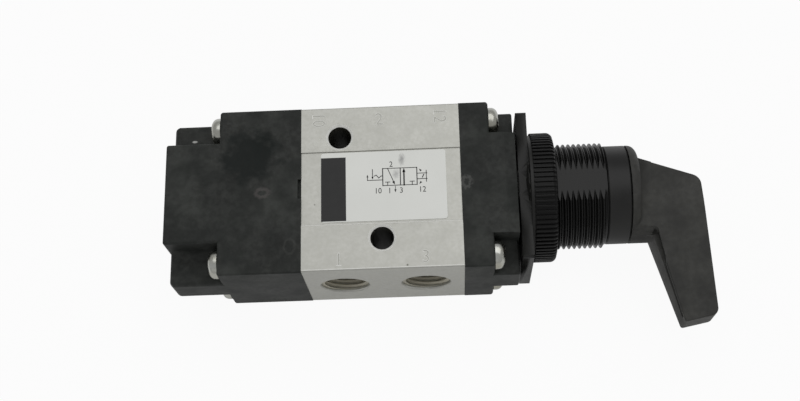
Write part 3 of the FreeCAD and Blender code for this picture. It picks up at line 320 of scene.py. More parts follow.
# Only the rib's outer edges that run along it are softened
top_edges = [
    e for e in bm.edges
    if all(v.co.z > (floor_r + 0.12) * MM or v.co.x > (nut_right - NUT_NOSE) * MM for v in e.verts)
    and abs(e.verts[0].co.y - e.verts[1].co.y) < 0.01 * MM
    and all(v.co.z > (floor_r - 1.0) * MM for v in e.verts)]
bmesh.ops.bevel(
    bm, geom=top_edges, offset=RIB_SOFT * MM, affect="EDGES",
    segments=2, profile=0.5, material=-1)
bmesh.ops.spin(
    bm, geom=whole(bm), cent=(0, 0, 0), axis=(1, 0, 0),
    angle=2 * pi * (NUT_RIBS - 1) / NUT_RIBS, steps=NUT_RIBS - 1, use_duplicate=True)
ribs = finished(bm, "nut_ribs", "nut", "nut_plastic", smooth_below=40)
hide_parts("ring_nut")

# %% [markdown]
# ## The body and its port threads
#
# The ports have pipe threads. Each is a rib wound inside the plain bore that the CAD
# model has. It is wound round X like the panel thread and then turned to the port's axis. Winding
# it round Y at once would need a second winding function.

# %% Wind the port threads
PORT_R = 6.58
PORT_PITCH = 1.337
PORT_THREAD_DEPTH = 0.8
PORT_SPACING = 11.4
body_low, body_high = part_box("valve_body")
body_x = (body_low.x + body_high.x) / 2 / MM
body_y = body_high.y / MM
body_top = body_high.z / MM


def port_thread(name, x, side):
    bm = bmesh.new()
    half = PORT_PITCH / 2
    inner = PORT_R - PORT_THREAD_DEPTH
    rib = [(-half + 0.05, PORT_R + 0.1), (half - 0.05, PORT_R + 0.1), (0.12, inner), (-0.12, inner)]
    wound_rib(bm, rib, body_y - 11.8, body_y - 0.75, PORT_PITCH)
    turn = Matrix.Rotation(side * pi / 2, 4, "Z")
    bmesh.ops.transform(bm, matrix=Matrix.Translation((x * MM, 0, 0)) @ turn, verts=bm.verts)
    return finished(bm, name, "valve", "body_aluminium")


port_thread("port_thread_1", body_x - PORT_SPACING, -1)
port_thread("port_thread_3", body_x + PORT_SPACING, -1)
port_thread("port_thread_2", body_x, 1)

# %% [markdown]
# ## Figures
#
# The port numbers are stamped in the body and printed on the label. Blender's own font gives
# their shape: a text curve is made a mesh, centred, and scaled to the height that is wanted.
# Drawing each figure from bars would take longer and look less even.

# %% Turn text into a mesh
def figure_curve(text):
    """A text curve with its middle at the origin."""
    curve = bpy.data.curves.new("figures", "FONT")
    curve.body = text
    curve.align_x = "CENTER"
    curve.align_y = "CENTER"
    curve.resolution_u = 3
    return curve


def curve_bmesh(curve):
    """The mesh of a curve, as a bmesh. The curve is used up."""
    holder = bpy.data.objects.new("figures", curve)
    bpy.context.scene.collection.objects.link(holder)
    bpy.context.view_layer.update()
    depsgraph = bpy.context.evaluated_depsgraph_get()
    mesh = bpy.data.meshes.new_from_object(holder.evaluated_get(depsgraph))
    bpy.data.objects.remove(holder)
    bpy.data.curves.remove(curve)
    bm = bmesh.new()
    bm.from_mesh(mesh)
    bpy.data.meshes.remove(mesh)
    bmesh.ops.remove_doubles(bm, verts=bm.verts, dist=1e-5)
    return bm


sample = curve_bmesh(figure_curve("1"))
sample_ys = [v.co.y for v in sample.verts]
print("height of a figure in the font:", round(max(sample_ys) - min(sample_ys), 3))
sample.free()

# %% [markdown]
# The figures on the valve are a little slimmer than the font's, so they are scaled less in
# width than in height. A stroke is the filled figure with a thickness. A rim is the same curve without
# its filling, given a round bevel, which makes a thin wire along every edge.

# %% Give the figures a size and a thickness
# The height of a figure in the font, and the share of its width that is kept
FIGURE_SIZE = 0.7
FIGURE_SLIMMER = 0.9


def fit_height(bm, height):
    """Centres figures of the font's own size, and scales them to a height in mm."""
    ys = [v.co.y for v in bm.verts]
    xs = [v.co.x for v in bm.verts]
    centre = Vector(((max(xs) + min(xs)) / 2, (max(ys) + min(ys)) / 2, 0))
    bmesh.ops.translate(bm, verts=bm.verts, vec=-centre)
    scale = height / (max(ys) - min(ys))
    bmesh.ops.scale(bm, verts=bm.verts, vec=(scale * FIGURE_SLIMMER, scale, scale))


def figure_outline(text, height, thickness):
    """Upright figures in the XY plane, in mm, with a thickness along Z."""
    bm = curve_bmesh(figure_curve(text))
    fit_height(bm, height)
    pushed_out(bm, list(bm.faces), (0, 0, thickness))
    bmesh.ops.recalc_face_normals(bm, faces=bm.faces)
    return bm


def figure_rim(text, height, radius):
    """The raised rim of a stamp: a thin round wire along the figures' edges, in mm."""
    curve = figure_curve(text)
    curve.fill_mode = "NONE"
    curve.bevel_depth = radius * FIGURE_SIZE / height
    curve.bevel_resolution = 1
    bm = curve_bmesh(curve)
    fit_height(bm, height + 2 * radius)
    return bm


sample = figure_outline("12", 3.6, 0.02)
print("faces of the figures 12:", len(sample.faces))
sample.free()

# %% [markdown]
# ## Carving
#
# A Boolean modifier compares lengths with tiny fixed tolerances, and in metres a stamped
# figure is so small that its edges come out torn. So everything that is carved is made in
# millimetres, cut there with the exact solver, triangulated, and only then brought down to metres.

# %% Go to millimetres and back
def mesh_object(bm, name):
    """A plain object from a bmesh. The bmesh is used up."""
    mesh = bpy.data.meshes.new(name)
    bm.to_mesh(mesh)
    bm.free()
    made = bpy.data.objects.new(name, mesh)
    bpy.context.scene.collection.objects.link(made)
    return made


def in_mm(bm):
    bmesh.ops.scale(bm, verts=bm.verts, vec=(1000, 1000, 1000))
    return bm


def in_metres(bm):
    bmesh.ops.scale(bm, verts=bm.verts, vec=(MM, MM, MM))
    return bm


def block(size, middle, turn=0, about="X"):
    """A block in mm, turned by an angle about an axis through its middle."""
    bm = bmesh.new()
    bmesh.ops.create_cube(bm, size=1.0)
    bmesh.ops.scale(bm, verts=bm.verts, vec=size)
    around = Matrix.Rotation(radians(turn), 3, about)
    bmesh.ops.rotate(bm, verts=bm.verts, cent=(0, 0, 0), matrix=around)
    bmesh.ops.translate(bm, verts=bm.verts, vec=middle)
    return bm


sample = block((2, 2, 2), (0, 0, 0))
print("volume of a 2 mm block in mm3:", round(sample.calc_volume(), 2))
sample.free()

# %% [markdown]
# One function does all the carving. It takes the piece and the tools as bmeshes in millimetres,
# cuts one tool at a time, and is tried on a small block first. Separate cuts are slower than one
# cut with joined tools, but tools that touch each other can't spoil it.

# %% Carve with the exact solver
def carved(bm, tools):
    """Cuts each tool out of a bmesh in mm, and gives the result as a bmesh in metres."""
    plain = mesh_object(bm, "plain")
    for tool in tools:
        punch = mesh_object(tool, "punch")
        cut = plain.modifiers.new("cut", "BOOLEAN")
        cut.operation = "DIFFERENCE"
        cut.solver = "EXACT"
        cut.object = punch
        bpy.context.view_layer.update()
        result = bpy.data.meshes.new_from_object(
            plain.evaluated_get(bpy.context.evaluated_depsgraph_get()))
        plain.modifiers.clear()
        plain.data = result
        bpy.data.objects.remove(punch)
    done = bmesh.new()
    done.from_mesh(plain.data)
    bpy.data.objects.remove(plain)
    bmesh.ops.triangulate(done, faces=done.faces)
    return in_metres(done)


sample = carved(block((2, 2, 2), (0, 0, 0)), [block((1, 1, 4), (0, 0, 0))])
print("triangles of a block with a square hole:", len(sample.faces))
sample.free()

# %% [markdown]
# ## The stamped numbers
#
# From above a stamped figure is a darker stroke with a raised, bright rim. Both tones are painted
# light: the stroke's darker colour is painted shade of the pressed groove, and the rim's near-white
# colour is a painted highlight. Carving the figures into the large top face leaves long thin triangles
# there that shade badly. So each figure is made of two thin pieces that lie on the face: the stroke
# and its rim.

# %% Stamp the port numbers
STAMP_PROUD = 0.02
STAMP_HEIGHT = 3.6
RIM_RADIUS = 0.11
RIM_SUNK = 0.4

# Each stamp: its text, x from the middle of the body, y, and its turn in degrees
STAMPS = (
    ("1", -11.9, -20.8, 0),
    ("3", 11.8, -20.7, 0),
    ("2", -0.2, 20.1, 0),
    ("10", -17.2, 20.1, -90),
    ("12", 17.0, 20.1, -90),
)

# The foot of each 1: x from the middle of the body, y, and its size along X and Y
STAMP_FEET = (
    (-11.9, -22.5, 1.5, 0.22),
    (-19.0, 21.4, 0.22, 1.3),
    (15.2, 21.4, 0.22, 1.3),
)


def placed_stamp(bm, dx, y, z, turn):
    place = Matrix.Translation((body_x + dx, y, z)) @ Matrix.Rotation(radians(turn), 4, "Z")
    bmesh.ops.transform(bm, matrix=place, verts=bm.verts)
    return bm


def add_to(kept, bm):
    """Adds a bmesh to another one. The first is used up."""
    piece = mesh_object(bm, "figure")
    kept.from_mesh(piece.data)
    bpy.data.objects.remove(piece)


strokes = bmesh.new()
rims = bmesh.new()
rim_z = body_top - RIM_RADIUS * RIM_SUNK
for text, dx, y, turn in STAMPS:
    stroke = figure_outline(text, STAMP_HEIGHT, STAMP_PROUD)
    add_to(strokes, placed_stamp(stroke, dx, y, body_top, turn))
    rim = figure_rim(text, STAMP_HEIGHT, RIM_RADIUS)
    add_to(rims, placed_stamp(rim, dx, y, rim_z, turn))
for dx, y, length, width in STAMP_FEET:
    add_to(rims, block((length, width, 0.1), (body_x + dx, y, body_top)))
# The strokes take a darker finish, painted shade of the groove, and the rims a near-white one, a
# painted highlight
finished(in_metres(strokes), "stamp_strokes", "valve", "body_aluminium", smooth_below=25)
finished(in_metres(rims), "stamp_rims", "valve", "body_aluminium", smooth_below=60)

# %% [markdown]
# Two edges of the body show a thin bright line where they catch the light: the near edge of the
# channel and the front edge of the top. That highlight is painted here: a thin strip in a near-white
# finish lies along each edge. A mask in the metal's material could paint it too, but it would have to
# follow an edge to a tenth of a millimetre.

# %% Lay two painted highlight lines along the body's edges
HIGHLIGHT_LINES = (("highlight_channel_edge", -10.78, 0.16), ("highlight_front_edge", -23.5, 0.2))
HIGHLIGHT_PROUD = 0.02
body_length = (body_high.x - body_low.x) / MM
for name, y, width in HIGHLIGHT_LINES:
    # Each strip is a painted highlight along one edge
    line = block((body_length - 0.3, width, HIGHLIGHT_PROUD), (body_x, y, body_top))
    finished(in_metres(line), name, "valve", "body_aluminium")

# %% [markdown]
# The channel's two upper edges are slightly broken and catch the light. A bevel works on a clean
# mesh, but a CAD mesh has a web of triangles along each edge. So the edges are planed off a
# merged copy, with two long bars that lie turned by 45 degrees.

# %% Break the channel's two edges
CHANNEL_HALF = 10.6
EDGE_BREAK = 0.2
bars = [
    block((body_length + 2, EDGE_BREAK, EDGE_BREAK), (body_x, side * CHANNEL_HALF, body_top), 45)
    for side in (-1, 1)]
planed = carved(in_mm(merged_copy("valve_body")), bars)
edged_body = finished(planed, "edged_body", "valve", "body_aluminium", smooth_below=25)
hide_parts("valve_body")

# %% [markdown]
# Deep inside, the two mounting holes look almost black. A thin lining in a dark finish is painted
# shade on the wall of each hole, and a bright ring is a painted highlight on the chamfer round its
# mouth. The same could be a second material on faces of the body, but the body is one CAD mesh with
# one slot.

# %% Line the mounting holes
HOLES = ((-11.4, 15.0), (0.0, -15.0))
HOLE_R = 3.3
HOLE_CHAMFER = 0.6
HOLE_STEPS = 48


def ring_round_hole(name, dx, y, section):
    """Turns a section of (r, z) points in mm round the axis of a mounting hole."""
    bm = bmesh.new()
    wire(bm, [(r * MM, 0, z * MM) for r, z in section])
    turned(bm, (0, 0, 1), HOLE_STEPS)
    bmesh.ops.translate(bm, verts=bm.verts, vec=((body_x + dx) * MM, y * MM, 0))
    return finished(bm, name, "valve", "body_aluminium")


for number, (dx, y) in enumerate(HOLES):
    top = body_top - HOLE_CHAMFER - 0.02
    inner = HOLE_R - 0.06
    outer = HOLE_R - 0.02
    # The lining is painted shade: a dark sheet on the hole's wall
    lining = [(inner, -top), (outer, -top), (outer, top), (inner, top)]
    ring_round_hole("hole_shade_lining_" + str(number + 1), dx, y, lining)
    # The chamfer ring is a painted highlight in a near-white finish
    edge = HOLE_R + HOLE_CHAMFER
    chamfer = [
        (HOLE_R, body_top - HOLE_CHAMFER), (edge, body_top), (edge - 0.05, body_top + 0.03),
        (HOLE_R - 0.03, body_top - HOLE_CHAMFER + 0.05)]
    ring_round_hole("hole_chamfer_" + str(number + 1), dx, y, chamfer)

# %% [markdown]
# ## The cap screws
#
# The heads are domed and zinc plated. One screw is turned from its outline, its cross is carved
# out, and copies of it go to the four corners of each cap. Linked copies would be lighter, but the
# screws of one cap are one node of the CAD model, so they are one piece here too.

# %% Turn one screw
HEAD_R = 4.0
HEAD_H = 3.0
SHANK_R = 2.0
DOME_STEPS = 8
SCREW_STEPS = 48

# Span, width and depth of the cross
CROSS = (4.4, 0.9, 1.6)


def turned_screw(length):
    """A screw along X in mm, its seat at the origin and its head towards +X."""
    dome = []
    for i in range(DOME_STEPS):
        a = pi / 2 * i / DOME_STEPS
        # The two powers flatten the top of the dome and fill out its rim
        dome.append((0.8 + (HEAD_H - 0.8) * sin(a) ** 0.9, HEAD_R * max(cos(a), 0.0) ** 0.62))
    points = [(-length, 0), (-length, SHANK_R - 0.6), (-length + 0.6, SHANK_R), (0, SHANK_R)]
    points += [(0, HEAD_R - 0.1), (0.1, HEAD_R)]
    points += dome
    points += [(HEAD_H, 0)]
    bm = bmesh.new()
    wire(bm, [(x, 0, r) for x, r in points], closed=False)
    turned(bm, (1, 0, 0), SCREW_STEPS)
    bmesh.ops.remove_doubles(bm, verts=bm.verts, dist=0.001)
    bmesh.ops.recalc_face_normals(bm, faces=bm.faces)
    span, width, depth = CROSS
    blades = [block((2 * depth, width, span), (HEAD_H, 0, 0), turn) for turn in (45, -45)]
    return carved(bm, blades)


print("screw head in mm:", 2 * HEAD_R, "across,", HEAD_H, "high")

# %% [markdown]
# The four copies of a cap stand at the corners of a rectangle, with their heads outwards. The heads
# on the two caps look opposite ways, so one set is turned round by half a turn.

# %% Set four screws in each cap
SCREW_Y = 19.7
SCREW_Z = 10.6


def set_screws(node, name, seat_x, length, outward):
    one = mesh_object(turned_screw(length), "one_screw")
    bm = bmesh.new()
    for y in (-SCREW_Y, SCREW_Y):
        for z in (-SCREW_Z, SCREW_Z):
            before = set(bm.verts)
            bm.from_mesh(one.data)
            added = [v for v in bm.verts if v not in before]
            facing = Matrix.Rotation(0 if outward > 0 else pi, 4, "Z")
            place = Matrix.Translation((seat_x * MM, y * MM, z * MM)) @ facing
            bmesh.ops.transform(bm, matrix=place, verts=added)
    bpy.data.objects.remove(one)
    screws = finished(bm, name, "valve", "screw_zinc", smooth_below=35)
    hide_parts(node)


left_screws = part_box("return_cap_screws")
right_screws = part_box("adaptor_cap_screws")
set_screws("return_cap_screws", "return_screw_heads", left_screws[0].x / MM + HEAD_H, 30.0, -1)
set_screws("adaptor_cap_screws", "adaptor_screw_heads", right_screws[1].x / MM - HEAD_H, 20.0, 1)

# %% [markdown]
# ## The lever
#
# A groove runs under the lip of the lever's inner edge. Near the hub the lip is notched back,
# which shows as a dark wedge from above. The notch is small and follows the lip, so it isn't
# worth a change of the CAD model. It is carved from a copy of the lever.

# %% Notch the lip of the lever
LIP_ROOT = Vector((27.0, -13.6, 0))
LIP_ALONG = Vector((0.238, -0.971, 0))
LIP_INWARD = Vector((0.971, 0.238, 0))
NOTCH_LOW = 4.2
NOTCH_TALL = 8.0

# The notch's outline: along the lip, and into the lever
NOTCH = (
    (-0.6, -0.5), (-1.3, 0.35), (-0.9, 0.95), (1.0, 0.8), (7.0, 0.6), (9.5, -0.1), (9.5, -0.5))
bm = bmesh.new()
corners = [LIP_ROOT + LIP_ALONG * s + LIP_INWARD * depth for s, depth in NOTCH]
face = bm.faces.new([bm.verts.new((p.x, p.y, NOTCH_LOW)) for p in corners])
pushed_out(bm, [face], (0, 0, NOTCH_TALL))
bmesh.ops.recalc_face_normals(bm, faces=bm.faces)
cut_lever = carved(in_mm(merged_copy("lever")), [bm])
notched_lever = finished(cut_lever, "notched_lever", "lever_unit", "lever_plastic")
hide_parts("lever")

# %% [markdown]
# ## The return spring
#
# The spring is hidden in its cap, but it shortens when the spool comes towards it. Left at its rest
# length it would cut through its seat. Here it is only copied into a piece with a mesh of its own, and
# the CAD node is hidden.

# %% Copy the spring into a piece of its own
spring_copy = finished(merged_copy("return_spring"), "squeezed_spring", "valve", "spring_steel")
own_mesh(spring_copy)
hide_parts("return_spring")

# %% [markdown]
# ## The label
#
# The label is a thin film with rounded corners. It almost fills the channel's width. A block with
# its four upright edges bevelled is all that it needs.

# %% Cut the label
label_low, label_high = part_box("body_label")
label_top = label_high.z / MM
LABEL_BOTTOM = -10.1
LABEL_UPPER = 10.3
LABEL_CORNER_R = 0.8
label_left = label_low.x / MM
label_right = label_high.x / MM
label_thick = (label_high.z - label_low.z) / MM
label_middle = (
    (label_left + label_right) / 2,
    (LABEL_UPPER + LABEL_BOTTOM) / 2,
    label_top - label_thick / 2,
)
bm = block((label_right - label_left, LABEL_UPPER - LABEL_BOTTOM, label_thick), label_middle)
upright = [e for e in bm.edges if abs(e.verts[0].co.z - e.verts[1].co.z) > label_thick / 2]
bmesh.ops.bevel(
    bm, geom=upright, offset=LABEL_CORNER_R, affect="EDGES",
    segments=5, profile=0.5, material=-1)
film = finished(in_metres(bm), "label_sheet", "valve", "label_film")
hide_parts("body_label")

# %% [markdown]
# ## The print on the label
#
# The label shows the valve's circuit symbol: two squares, one for each position, with the flow
# paths drawn in them, and at either end a line symbol for what moves the spool. Every
# stroke is a thin flat bar, so a short function that lays a bar between two points
# draws the whole symbol. The bars lie a hair above the film. An image would need a file beside
# this script, and it would blur up close.

# %% Lay printed strokes on the label
INK = 0.02
STROKE = 0.2


def turn_flat(bm, verts, angle):
    """Turns vertices about Z, by an angle in radians."""
    bmesh.ops.rotate(bm, verts=verts, cent=(0, 0, 0), matrix=Matrix.Rotation(angle, 3, "Z"))


def add_bar(bm, a, b, width=STROKE):
    """A flat bar from a to b, in mm from the middle of the body."""
    ax, ay = a
    bx, by = b
    length = sqrt((bx - ax) ** 2 + (by - ay) ** 2)
    made = bmesh.ops.create_cube(bm, size=1.0)["verts"]
    bmesh.ops.scale(bm, verts=made, vec=((length + width) * MM, width * MM, INK * MM))
    turn_flat(bm, made, atan2(by - ay, bx - ax))
    middle = ((body_x + (ax + bx) / 2) * MM, (ay + by) / 2 * MM, (label_top + INK / 2) * MM)
    bmesh.ops.translate(bm, verts=made, vec=middle)


def add_arrow(bm, tip, towards, size=0.9):
    """A flat triangle with its point at tip, pointing the way of the angle towards."""
    reach = size / 2 * MM
    made = bmesh.ops.create_cone(
        bm, cap_ends=True, segments=3, radius1=reach, radius2=reach, depth=INK * MM)["verts"]
    turn_flat(bm, made, -pi / 2)
    bmesh.ops.scale(bm, verts=made, vec=(1.3, 0.8, 1))
    bmesh.ops.translate(bm, verts=made, vec=(-size * 0.65 * MM, 0, 0))
    turn_flat(bm, made, radians(towards))
    place = ((body_x + tip[0]) * MM, tip[1] * MM, (label_top + INK / 2) * MM)
    bmesh.ops.translate(bm, verts=made, vec=place)


print("the film's top is at", round(label_top, 2), "mm, the ink's at", round(label_top + INK, 2))

# %% [markdown]
# The symbol is read from the left: the lever's detent, the position with port 2 open to port 3,
# the position with port 1 open to port 2, and the turning handle. All places are in mm from the
# middle of the body.

# %% Draw the circuit symbol
SQUARES_X = (0.5, 5.4, 10.0)
SQUARES_Y = (0.1, 5.15)
low_y, top_y = SQUARES_Y
bm = bmesh.new()
for x in SQUARES_X:
    add_bar(bm, (x, low_y), (x, top_y), STROKE * 1.3)
for y in SQUARES_Y:
    add_bar(bm, (SQUARES_X[0], y), (SQUARES_X[2], y))

# The flow paths: 2 to 3 in the left square, 1 to 2 in the right one
add_bar(bm, (1.87, top_y), (3.6, 0.9))
add_arrow(bm, (3.85, 0.25), -67, 1.1)
add_bar(bm, (6.4, low_y), (6.4, top_y - 0.8), STROKE * 2)
add_arrow(bm, (6.4, top_y), 90, 1.3)
for x in (1.85, 8.65):
    add_bar(bm, (x, low_y), (x, low_y + 1.0))
    add_bar(bm, (x - 0.6, low_y + 1.0), (x + 0.6, low_y + 1.0))

# The open exhaust below the middle
add_arrow(bm, (3.95, -2.0), -90, 0.9)
add_bar(bm, (3.95, low_y - 0.3), (3.95, -1.3), STROKE * 0.8)

# The lever and its detent on the left
add_bar(bm, (-3.75, 1.8), (SQUARES_X[0], 1.8))
add_bar(bm, (-3.75, 1.8), (-3.75, 2.9))
add_arrow(bm, (-3.75, 3.5), 90, 0.8)
add_bar(bm, (-2.34, 2.5), (-2.34, 5.0))
add_arrow(bm, (-2.34, 2.0), -90, 0.8)
DETENT = ((-1.9, 3.0), (-1.3, 3.3), (-0.6, 2.4), (0.0, 2.95), (SQUARES_X[0], 3.0))
for a, b in zip(DETENT, DETENT[1:]):
    add_bar(bm, a, b)

# The turning handle on the right
for y in (1.75, 3.4):
    add_bar(bm, (SQUARES_X[2], y), (12.8, y))
add_bar(bm, (12.6, 0.9), (12.6, 4.2))
add_arrow(bm, (10.6, 4.75), 130, 0.9)
add_arrow(bm, (10.6, 0.2), -130, 0.9)
add_bar(bm, (11.5, 2.2), (11.9, 3.0), STROKE * 1.3)
finished(bm, "label_symbol", "valve", "label_film")

# %% [markdown]
# Round the symbol stand the port numbers, and at the left end of the label is a plain dark
# block. They are made as the stamped figures were, only thinner.

# %% Print the port numbers and the dark block
PRINTED = (
    ("2", 2.86, 6.4), ("10", -0.67, -1.35), ("1", 2.36, -1.4), ("3", 5.6, -1.4), ("12", 11.6, -1.3))
PRINTED_HEIGHT = 1.6
numbers = []
for text, dx, y in PRINTED:
    bm = in_metres(figure_outline(text, PRINTED_HEIGHT, INK))
    place = ((body_x + dx) * MM, y * MM, label_top * MM)
    bmesh.ops.translate(bm, verts=bm.verts, vec=place)
    numbers.append(finished(bm, "label_number_" + text, "valve", "label_film"))

BLOCK_WIDTH = 6.9
BLOCK_HEIGHT = 18.7
BLOCK_FROM_LEFT = 0.02
BLOCK_FROM_BOTTOM = 0.3
block_middle = (
    label_left + BLOCK_WIDTH / 2 + BLOCK_FROM_LEFT,
    LABEL_BOTTOM + BLOCK_FROM_BOTTOM + BLOCK_HEIGHT / 2,
    label_top + INK / 2,
)
dark_block = in_metres(block((BLOCK_WIDTH, BLOCK_HEIGHT, INK), block_middle))
finished(dark_block, "label_block", "valve", "label_film")

# %% [markdown]
# ## Materials
#
# Every finish is procedural and reads Object coordinates, so it lies still on its part.
# Four effects are shared, so each is a node group with named inputs: a fine moulded grain, soft
# smudges that vary colour and gloss, the drawn lines of an extruded bar, and single worn spots at a
# given place. A group puts out only a height or a mask. The shader that uses it stays in the
# material, because the export can't read a shader inside a group.

# %% Start a node group
def new_group(name, inputs, outputs):
    group = bpy.data.node_groups.new(name, "ShaderNodeTree")
    for label, kind, value in inputs:
        socket = group.interface.new_socket(name=label, in_out="INPUT", socket_type=kind)
        socket.default_value = value
    for label, kind in outputs:
        group.interface.new_socket(name=label, in_out="OUTPUT", socket_type=kind)
    entry = group.nodes.new("NodeGroupInput")
    leave = group.nodes.new("NodeGroupOutput")
    return group, entry, leave


def node(tree, kind, **values):
    made = tree.nodes.new(kind)
    for key, value in values.items():
        setattr(made, key, value)
    return made


def sized_noise(group, entry, detail):
    """Noise in Object coordinates, its patches as large as the group's Size in mm."""
    place = node(group, "ShaderNodeTexCoord")
    per_metre = node(group, "ShaderNodeMath", operation="DIVIDE")
    per_metre.inputs[0].default_value = 1000.0
    group.links.new(entry.outputs["Size"], per_metre.inputs[1])
    noise = node(group, "ShaderNodeTexNoise")
    noise.inputs["Detail"].default_value = detail
    group.links.new(place.outputs["Object"], noise.inputs["Vector"])
    group.links.new(per_metre.outputs[0], noise.inputs["Scale"])
    return noise


print("node groups so far:", len(bpy.data.node_groups))

# %% [markdown]
# Moulded plastic has a fine grain from its mould. A noise gives its height, and the material
# turns that into a bump. The plastic also has handling marks: soft clouds that are a little lighter
# and duller. They are the same noise, much larger, with its contrast raised.

# %% Build the grain and the smudges
def grain_group():
    """Fine random dimples, as on a moulded surface. Puts out a height from 0 to 1."""
    group, entry, leave = new_group(
        "moulded_grain", [("Size", "NodeSocketFloat", 0.3)], [("Height", "NodeSocketFloat")])
    noise = sized_noise(group, entry, 3.0)
    noise.inputs["Roughness"].default_value = 0.6
    group.links.new(noise.outputs["Fac"], leave.inputs["Height"])
    return group


def smudge_group():
    """Soft cloudy patches. Puts out a mask from 0 to 1."""
    group, entry, leave = new_group(
        "smudges", [("Size", "NodeSocketFloat", 12.0), ("Sharpness", "NodeSocketFloat", 3.0)],
        [("Mask", "NodeSocketFloat")])
    link = group.links.new
    noise = sized_noise(group, entry, 4.0)
    centred = node(group, "ShaderNodeMath", operation="SUBTRACT")
    centred.inputs[1].default_value = 0.5
    link(noise.outputs["Fac"], centred.inputs[0])
    sharper = node(group, "ShaderNodeMath", operation="MULTIPLY_ADD", use_clamp=True)
    sharper.inputs[2].default_value = 0.5
    link(centred.outputs[0], sharper.inputs[0])
    link(entry.outputs["Sharpness"], sharper.inputs[1])
    link(sharper.outputs[0], leave.inputs["Mask"])
    return group


GRAIN = grain_group()
SMUDGES = smudge_group()
print("grain and smudges:", GRAIN.name, SMUDGES.name)

# %% [markdown]
# The body is cut from an extruded bar, and the die leaves fine lines along it. The same noise
# gives them when it is stretched along X. A wave texture would make the lines too even.

# %% Build the drawn lines
def drawn_group():
    """Fine streaks along X, as an extrusion die leaves them. Puts out a height from 0 to 1."""
    group, entry, leave = new_group(
        "drawn_lines", [("Stretch", "NodeSocketVector", (40.0, 1500.0, 1500.0))],
        [("Height", "NodeSocketFloat")])
    link = group.links.new
    place = node(group, "ShaderNodeTexCoord")
    stretched = node(group, "ShaderNodeVectorMath", operation="MULTIPLY")
    link(place.outputs["Object"], stretched.inputs[0])
    link(entry.outputs["Stretch"], stretched.inputs[1])
    noise = node(group, "ShaderNodeTexNoise")
    noise.inputs["Scale"].default_value = 1.0
    noise.inputs["Detail"].default_value = 2.0
    link(stretched.outputs[0], noise.inputs["Vector"])
    link(noise.outputs["Fac"], leave.inputs["Height"])
    return group


DRAWN = drawn_group()
print("drawn lines:", DRAWN.name)

# %% [markdown]
# Single marks, such as a rubbed patch or a ring, lie at one place. Their mask is the distance from
# that place, made ragged by a noise. A painted image would need a file, and this doesn't.

# %% Build the worn spot
def spot_group():
    """One patch with a ragged edge. Per Metre is one over its reach each way, in metres."""
    group, entry, leave = new_group(
        "worn_spot",
        [("Centre", "NodeSocketVector", (0.0, 0.0, 0.0)),
         ("Per Metre", "NodeSocketVector", (100.0, 100.0, 100.0)),
         ("Ragged", "NodeSocketFloat", 0.4), ("Soft", "NodeSocketFloat", 0.4)],
        [("Mask", "NodeSocketFloat")])
    link = group.links.new
    place = node(group, "ShaderNodeTexCoord")
    away = node(group, "ShaderNodeVectorMath", operation="SUBTRACT")
    link(place.outputs["Object"], away.inputs[0])
    link(entry.outputs["Centre"], away.inputs[1])
    shares = node(group, "ShaderNodeVectorMath", operation="MULTIPLY")
    link(away.outputs[0], shares.inputs[0])
    link(entry.outputs["Per Metre"], shares.inputs[1])
    distance = node(group, "ShaderNodeVectorMath", operation="LENGTH")
    link(shares.outputs[0], distance.inputs[0])
    noise = node(group, "ShaderNodeTexNoise")
    noise.inputs["Scale"].default_value = 2.2
    noise.inputs["Detail"].default_value = 5.0
    link(shares.outputs[0], noise.inputs["Vector"])
    centred = node(group, "ShaderNodeMath", operation="SUBTRACT")
    centred.inputs[1].default_value = 0.5
    link(noise.outputs["Fac"], centred.inputs[0])
    edge = node(group, "ShaderNodeMath", operation="MULTIPLY_ADD")
    link(centred.outputs[0], edge.inputs[0])
    link(entry.outputs["Ragged"], edge.inputs[1])
    link(distance.outputs["Value"], edge.inputs[2])
    inside = node(group, "ShaderNodeMath", operation="SUBTRACT")
    inside.inputs[0].default_value = 1.0
    link(edge.outputs[0], inside.inputs[1])
    mask = node(group, "ShaderNodeMath", operation="DIVIDE", use_clamp=True)
    link(inside.outputs[0], mask.inputs[0])
    link(entry.outputs["Soft"], mask.inputs[1])
    link(mask.outputs[0], leave.inputs["Mask"])
    return group


SPOT = spot_group()
print("inputs of a spot:", [s.name for s in SPOT.interface.items_tree if s.in_out == "INPUT"])

# %% [markdown]
# Each finish starts from one Principled shader with its plain values. Then the effects are
# added: grain, clouds between two colours, and more clouds or spots laid over what is there.

# %% Start a material and add effects to it
def surface(name, colour, roughness, metallic=0.0, specular=0.5):
    """A material with a Principled shader and its uniform values set on it."""
    material = bpy.data.materials.new(name)
    material.use_nodes = True
    shader = material.node_tree.nodes["Principled BSDF"]
    shader.inputs["Base Color"].default_value = (*colour, 1.0)
    shader.inputs["Roughness"].default_value = roughness
    shader.inputs["Metallic"].default_value = metallic
    shader.inputs["Specular IOR Level"].default_value = specular
    return material, material.node_tree, shader


def add_grain(tree, shader, size, depth):
    """Dimples of a size and a depth in mm."""
    grain = node(tree, "ShaderNodeGroup", node_tree=GRAIN)
    grain.inputs["Size"].default_value = size
    bump = node(tree, "ShaderNodeBump")
    bump.inputs["Distance"].default_value = depth * MM
    tree.links.new(grain.outputs["Height"], bump.inputs["Height"])
    tree.links.new(bump.outputs["Normal"], shader.inputs["Normal"])


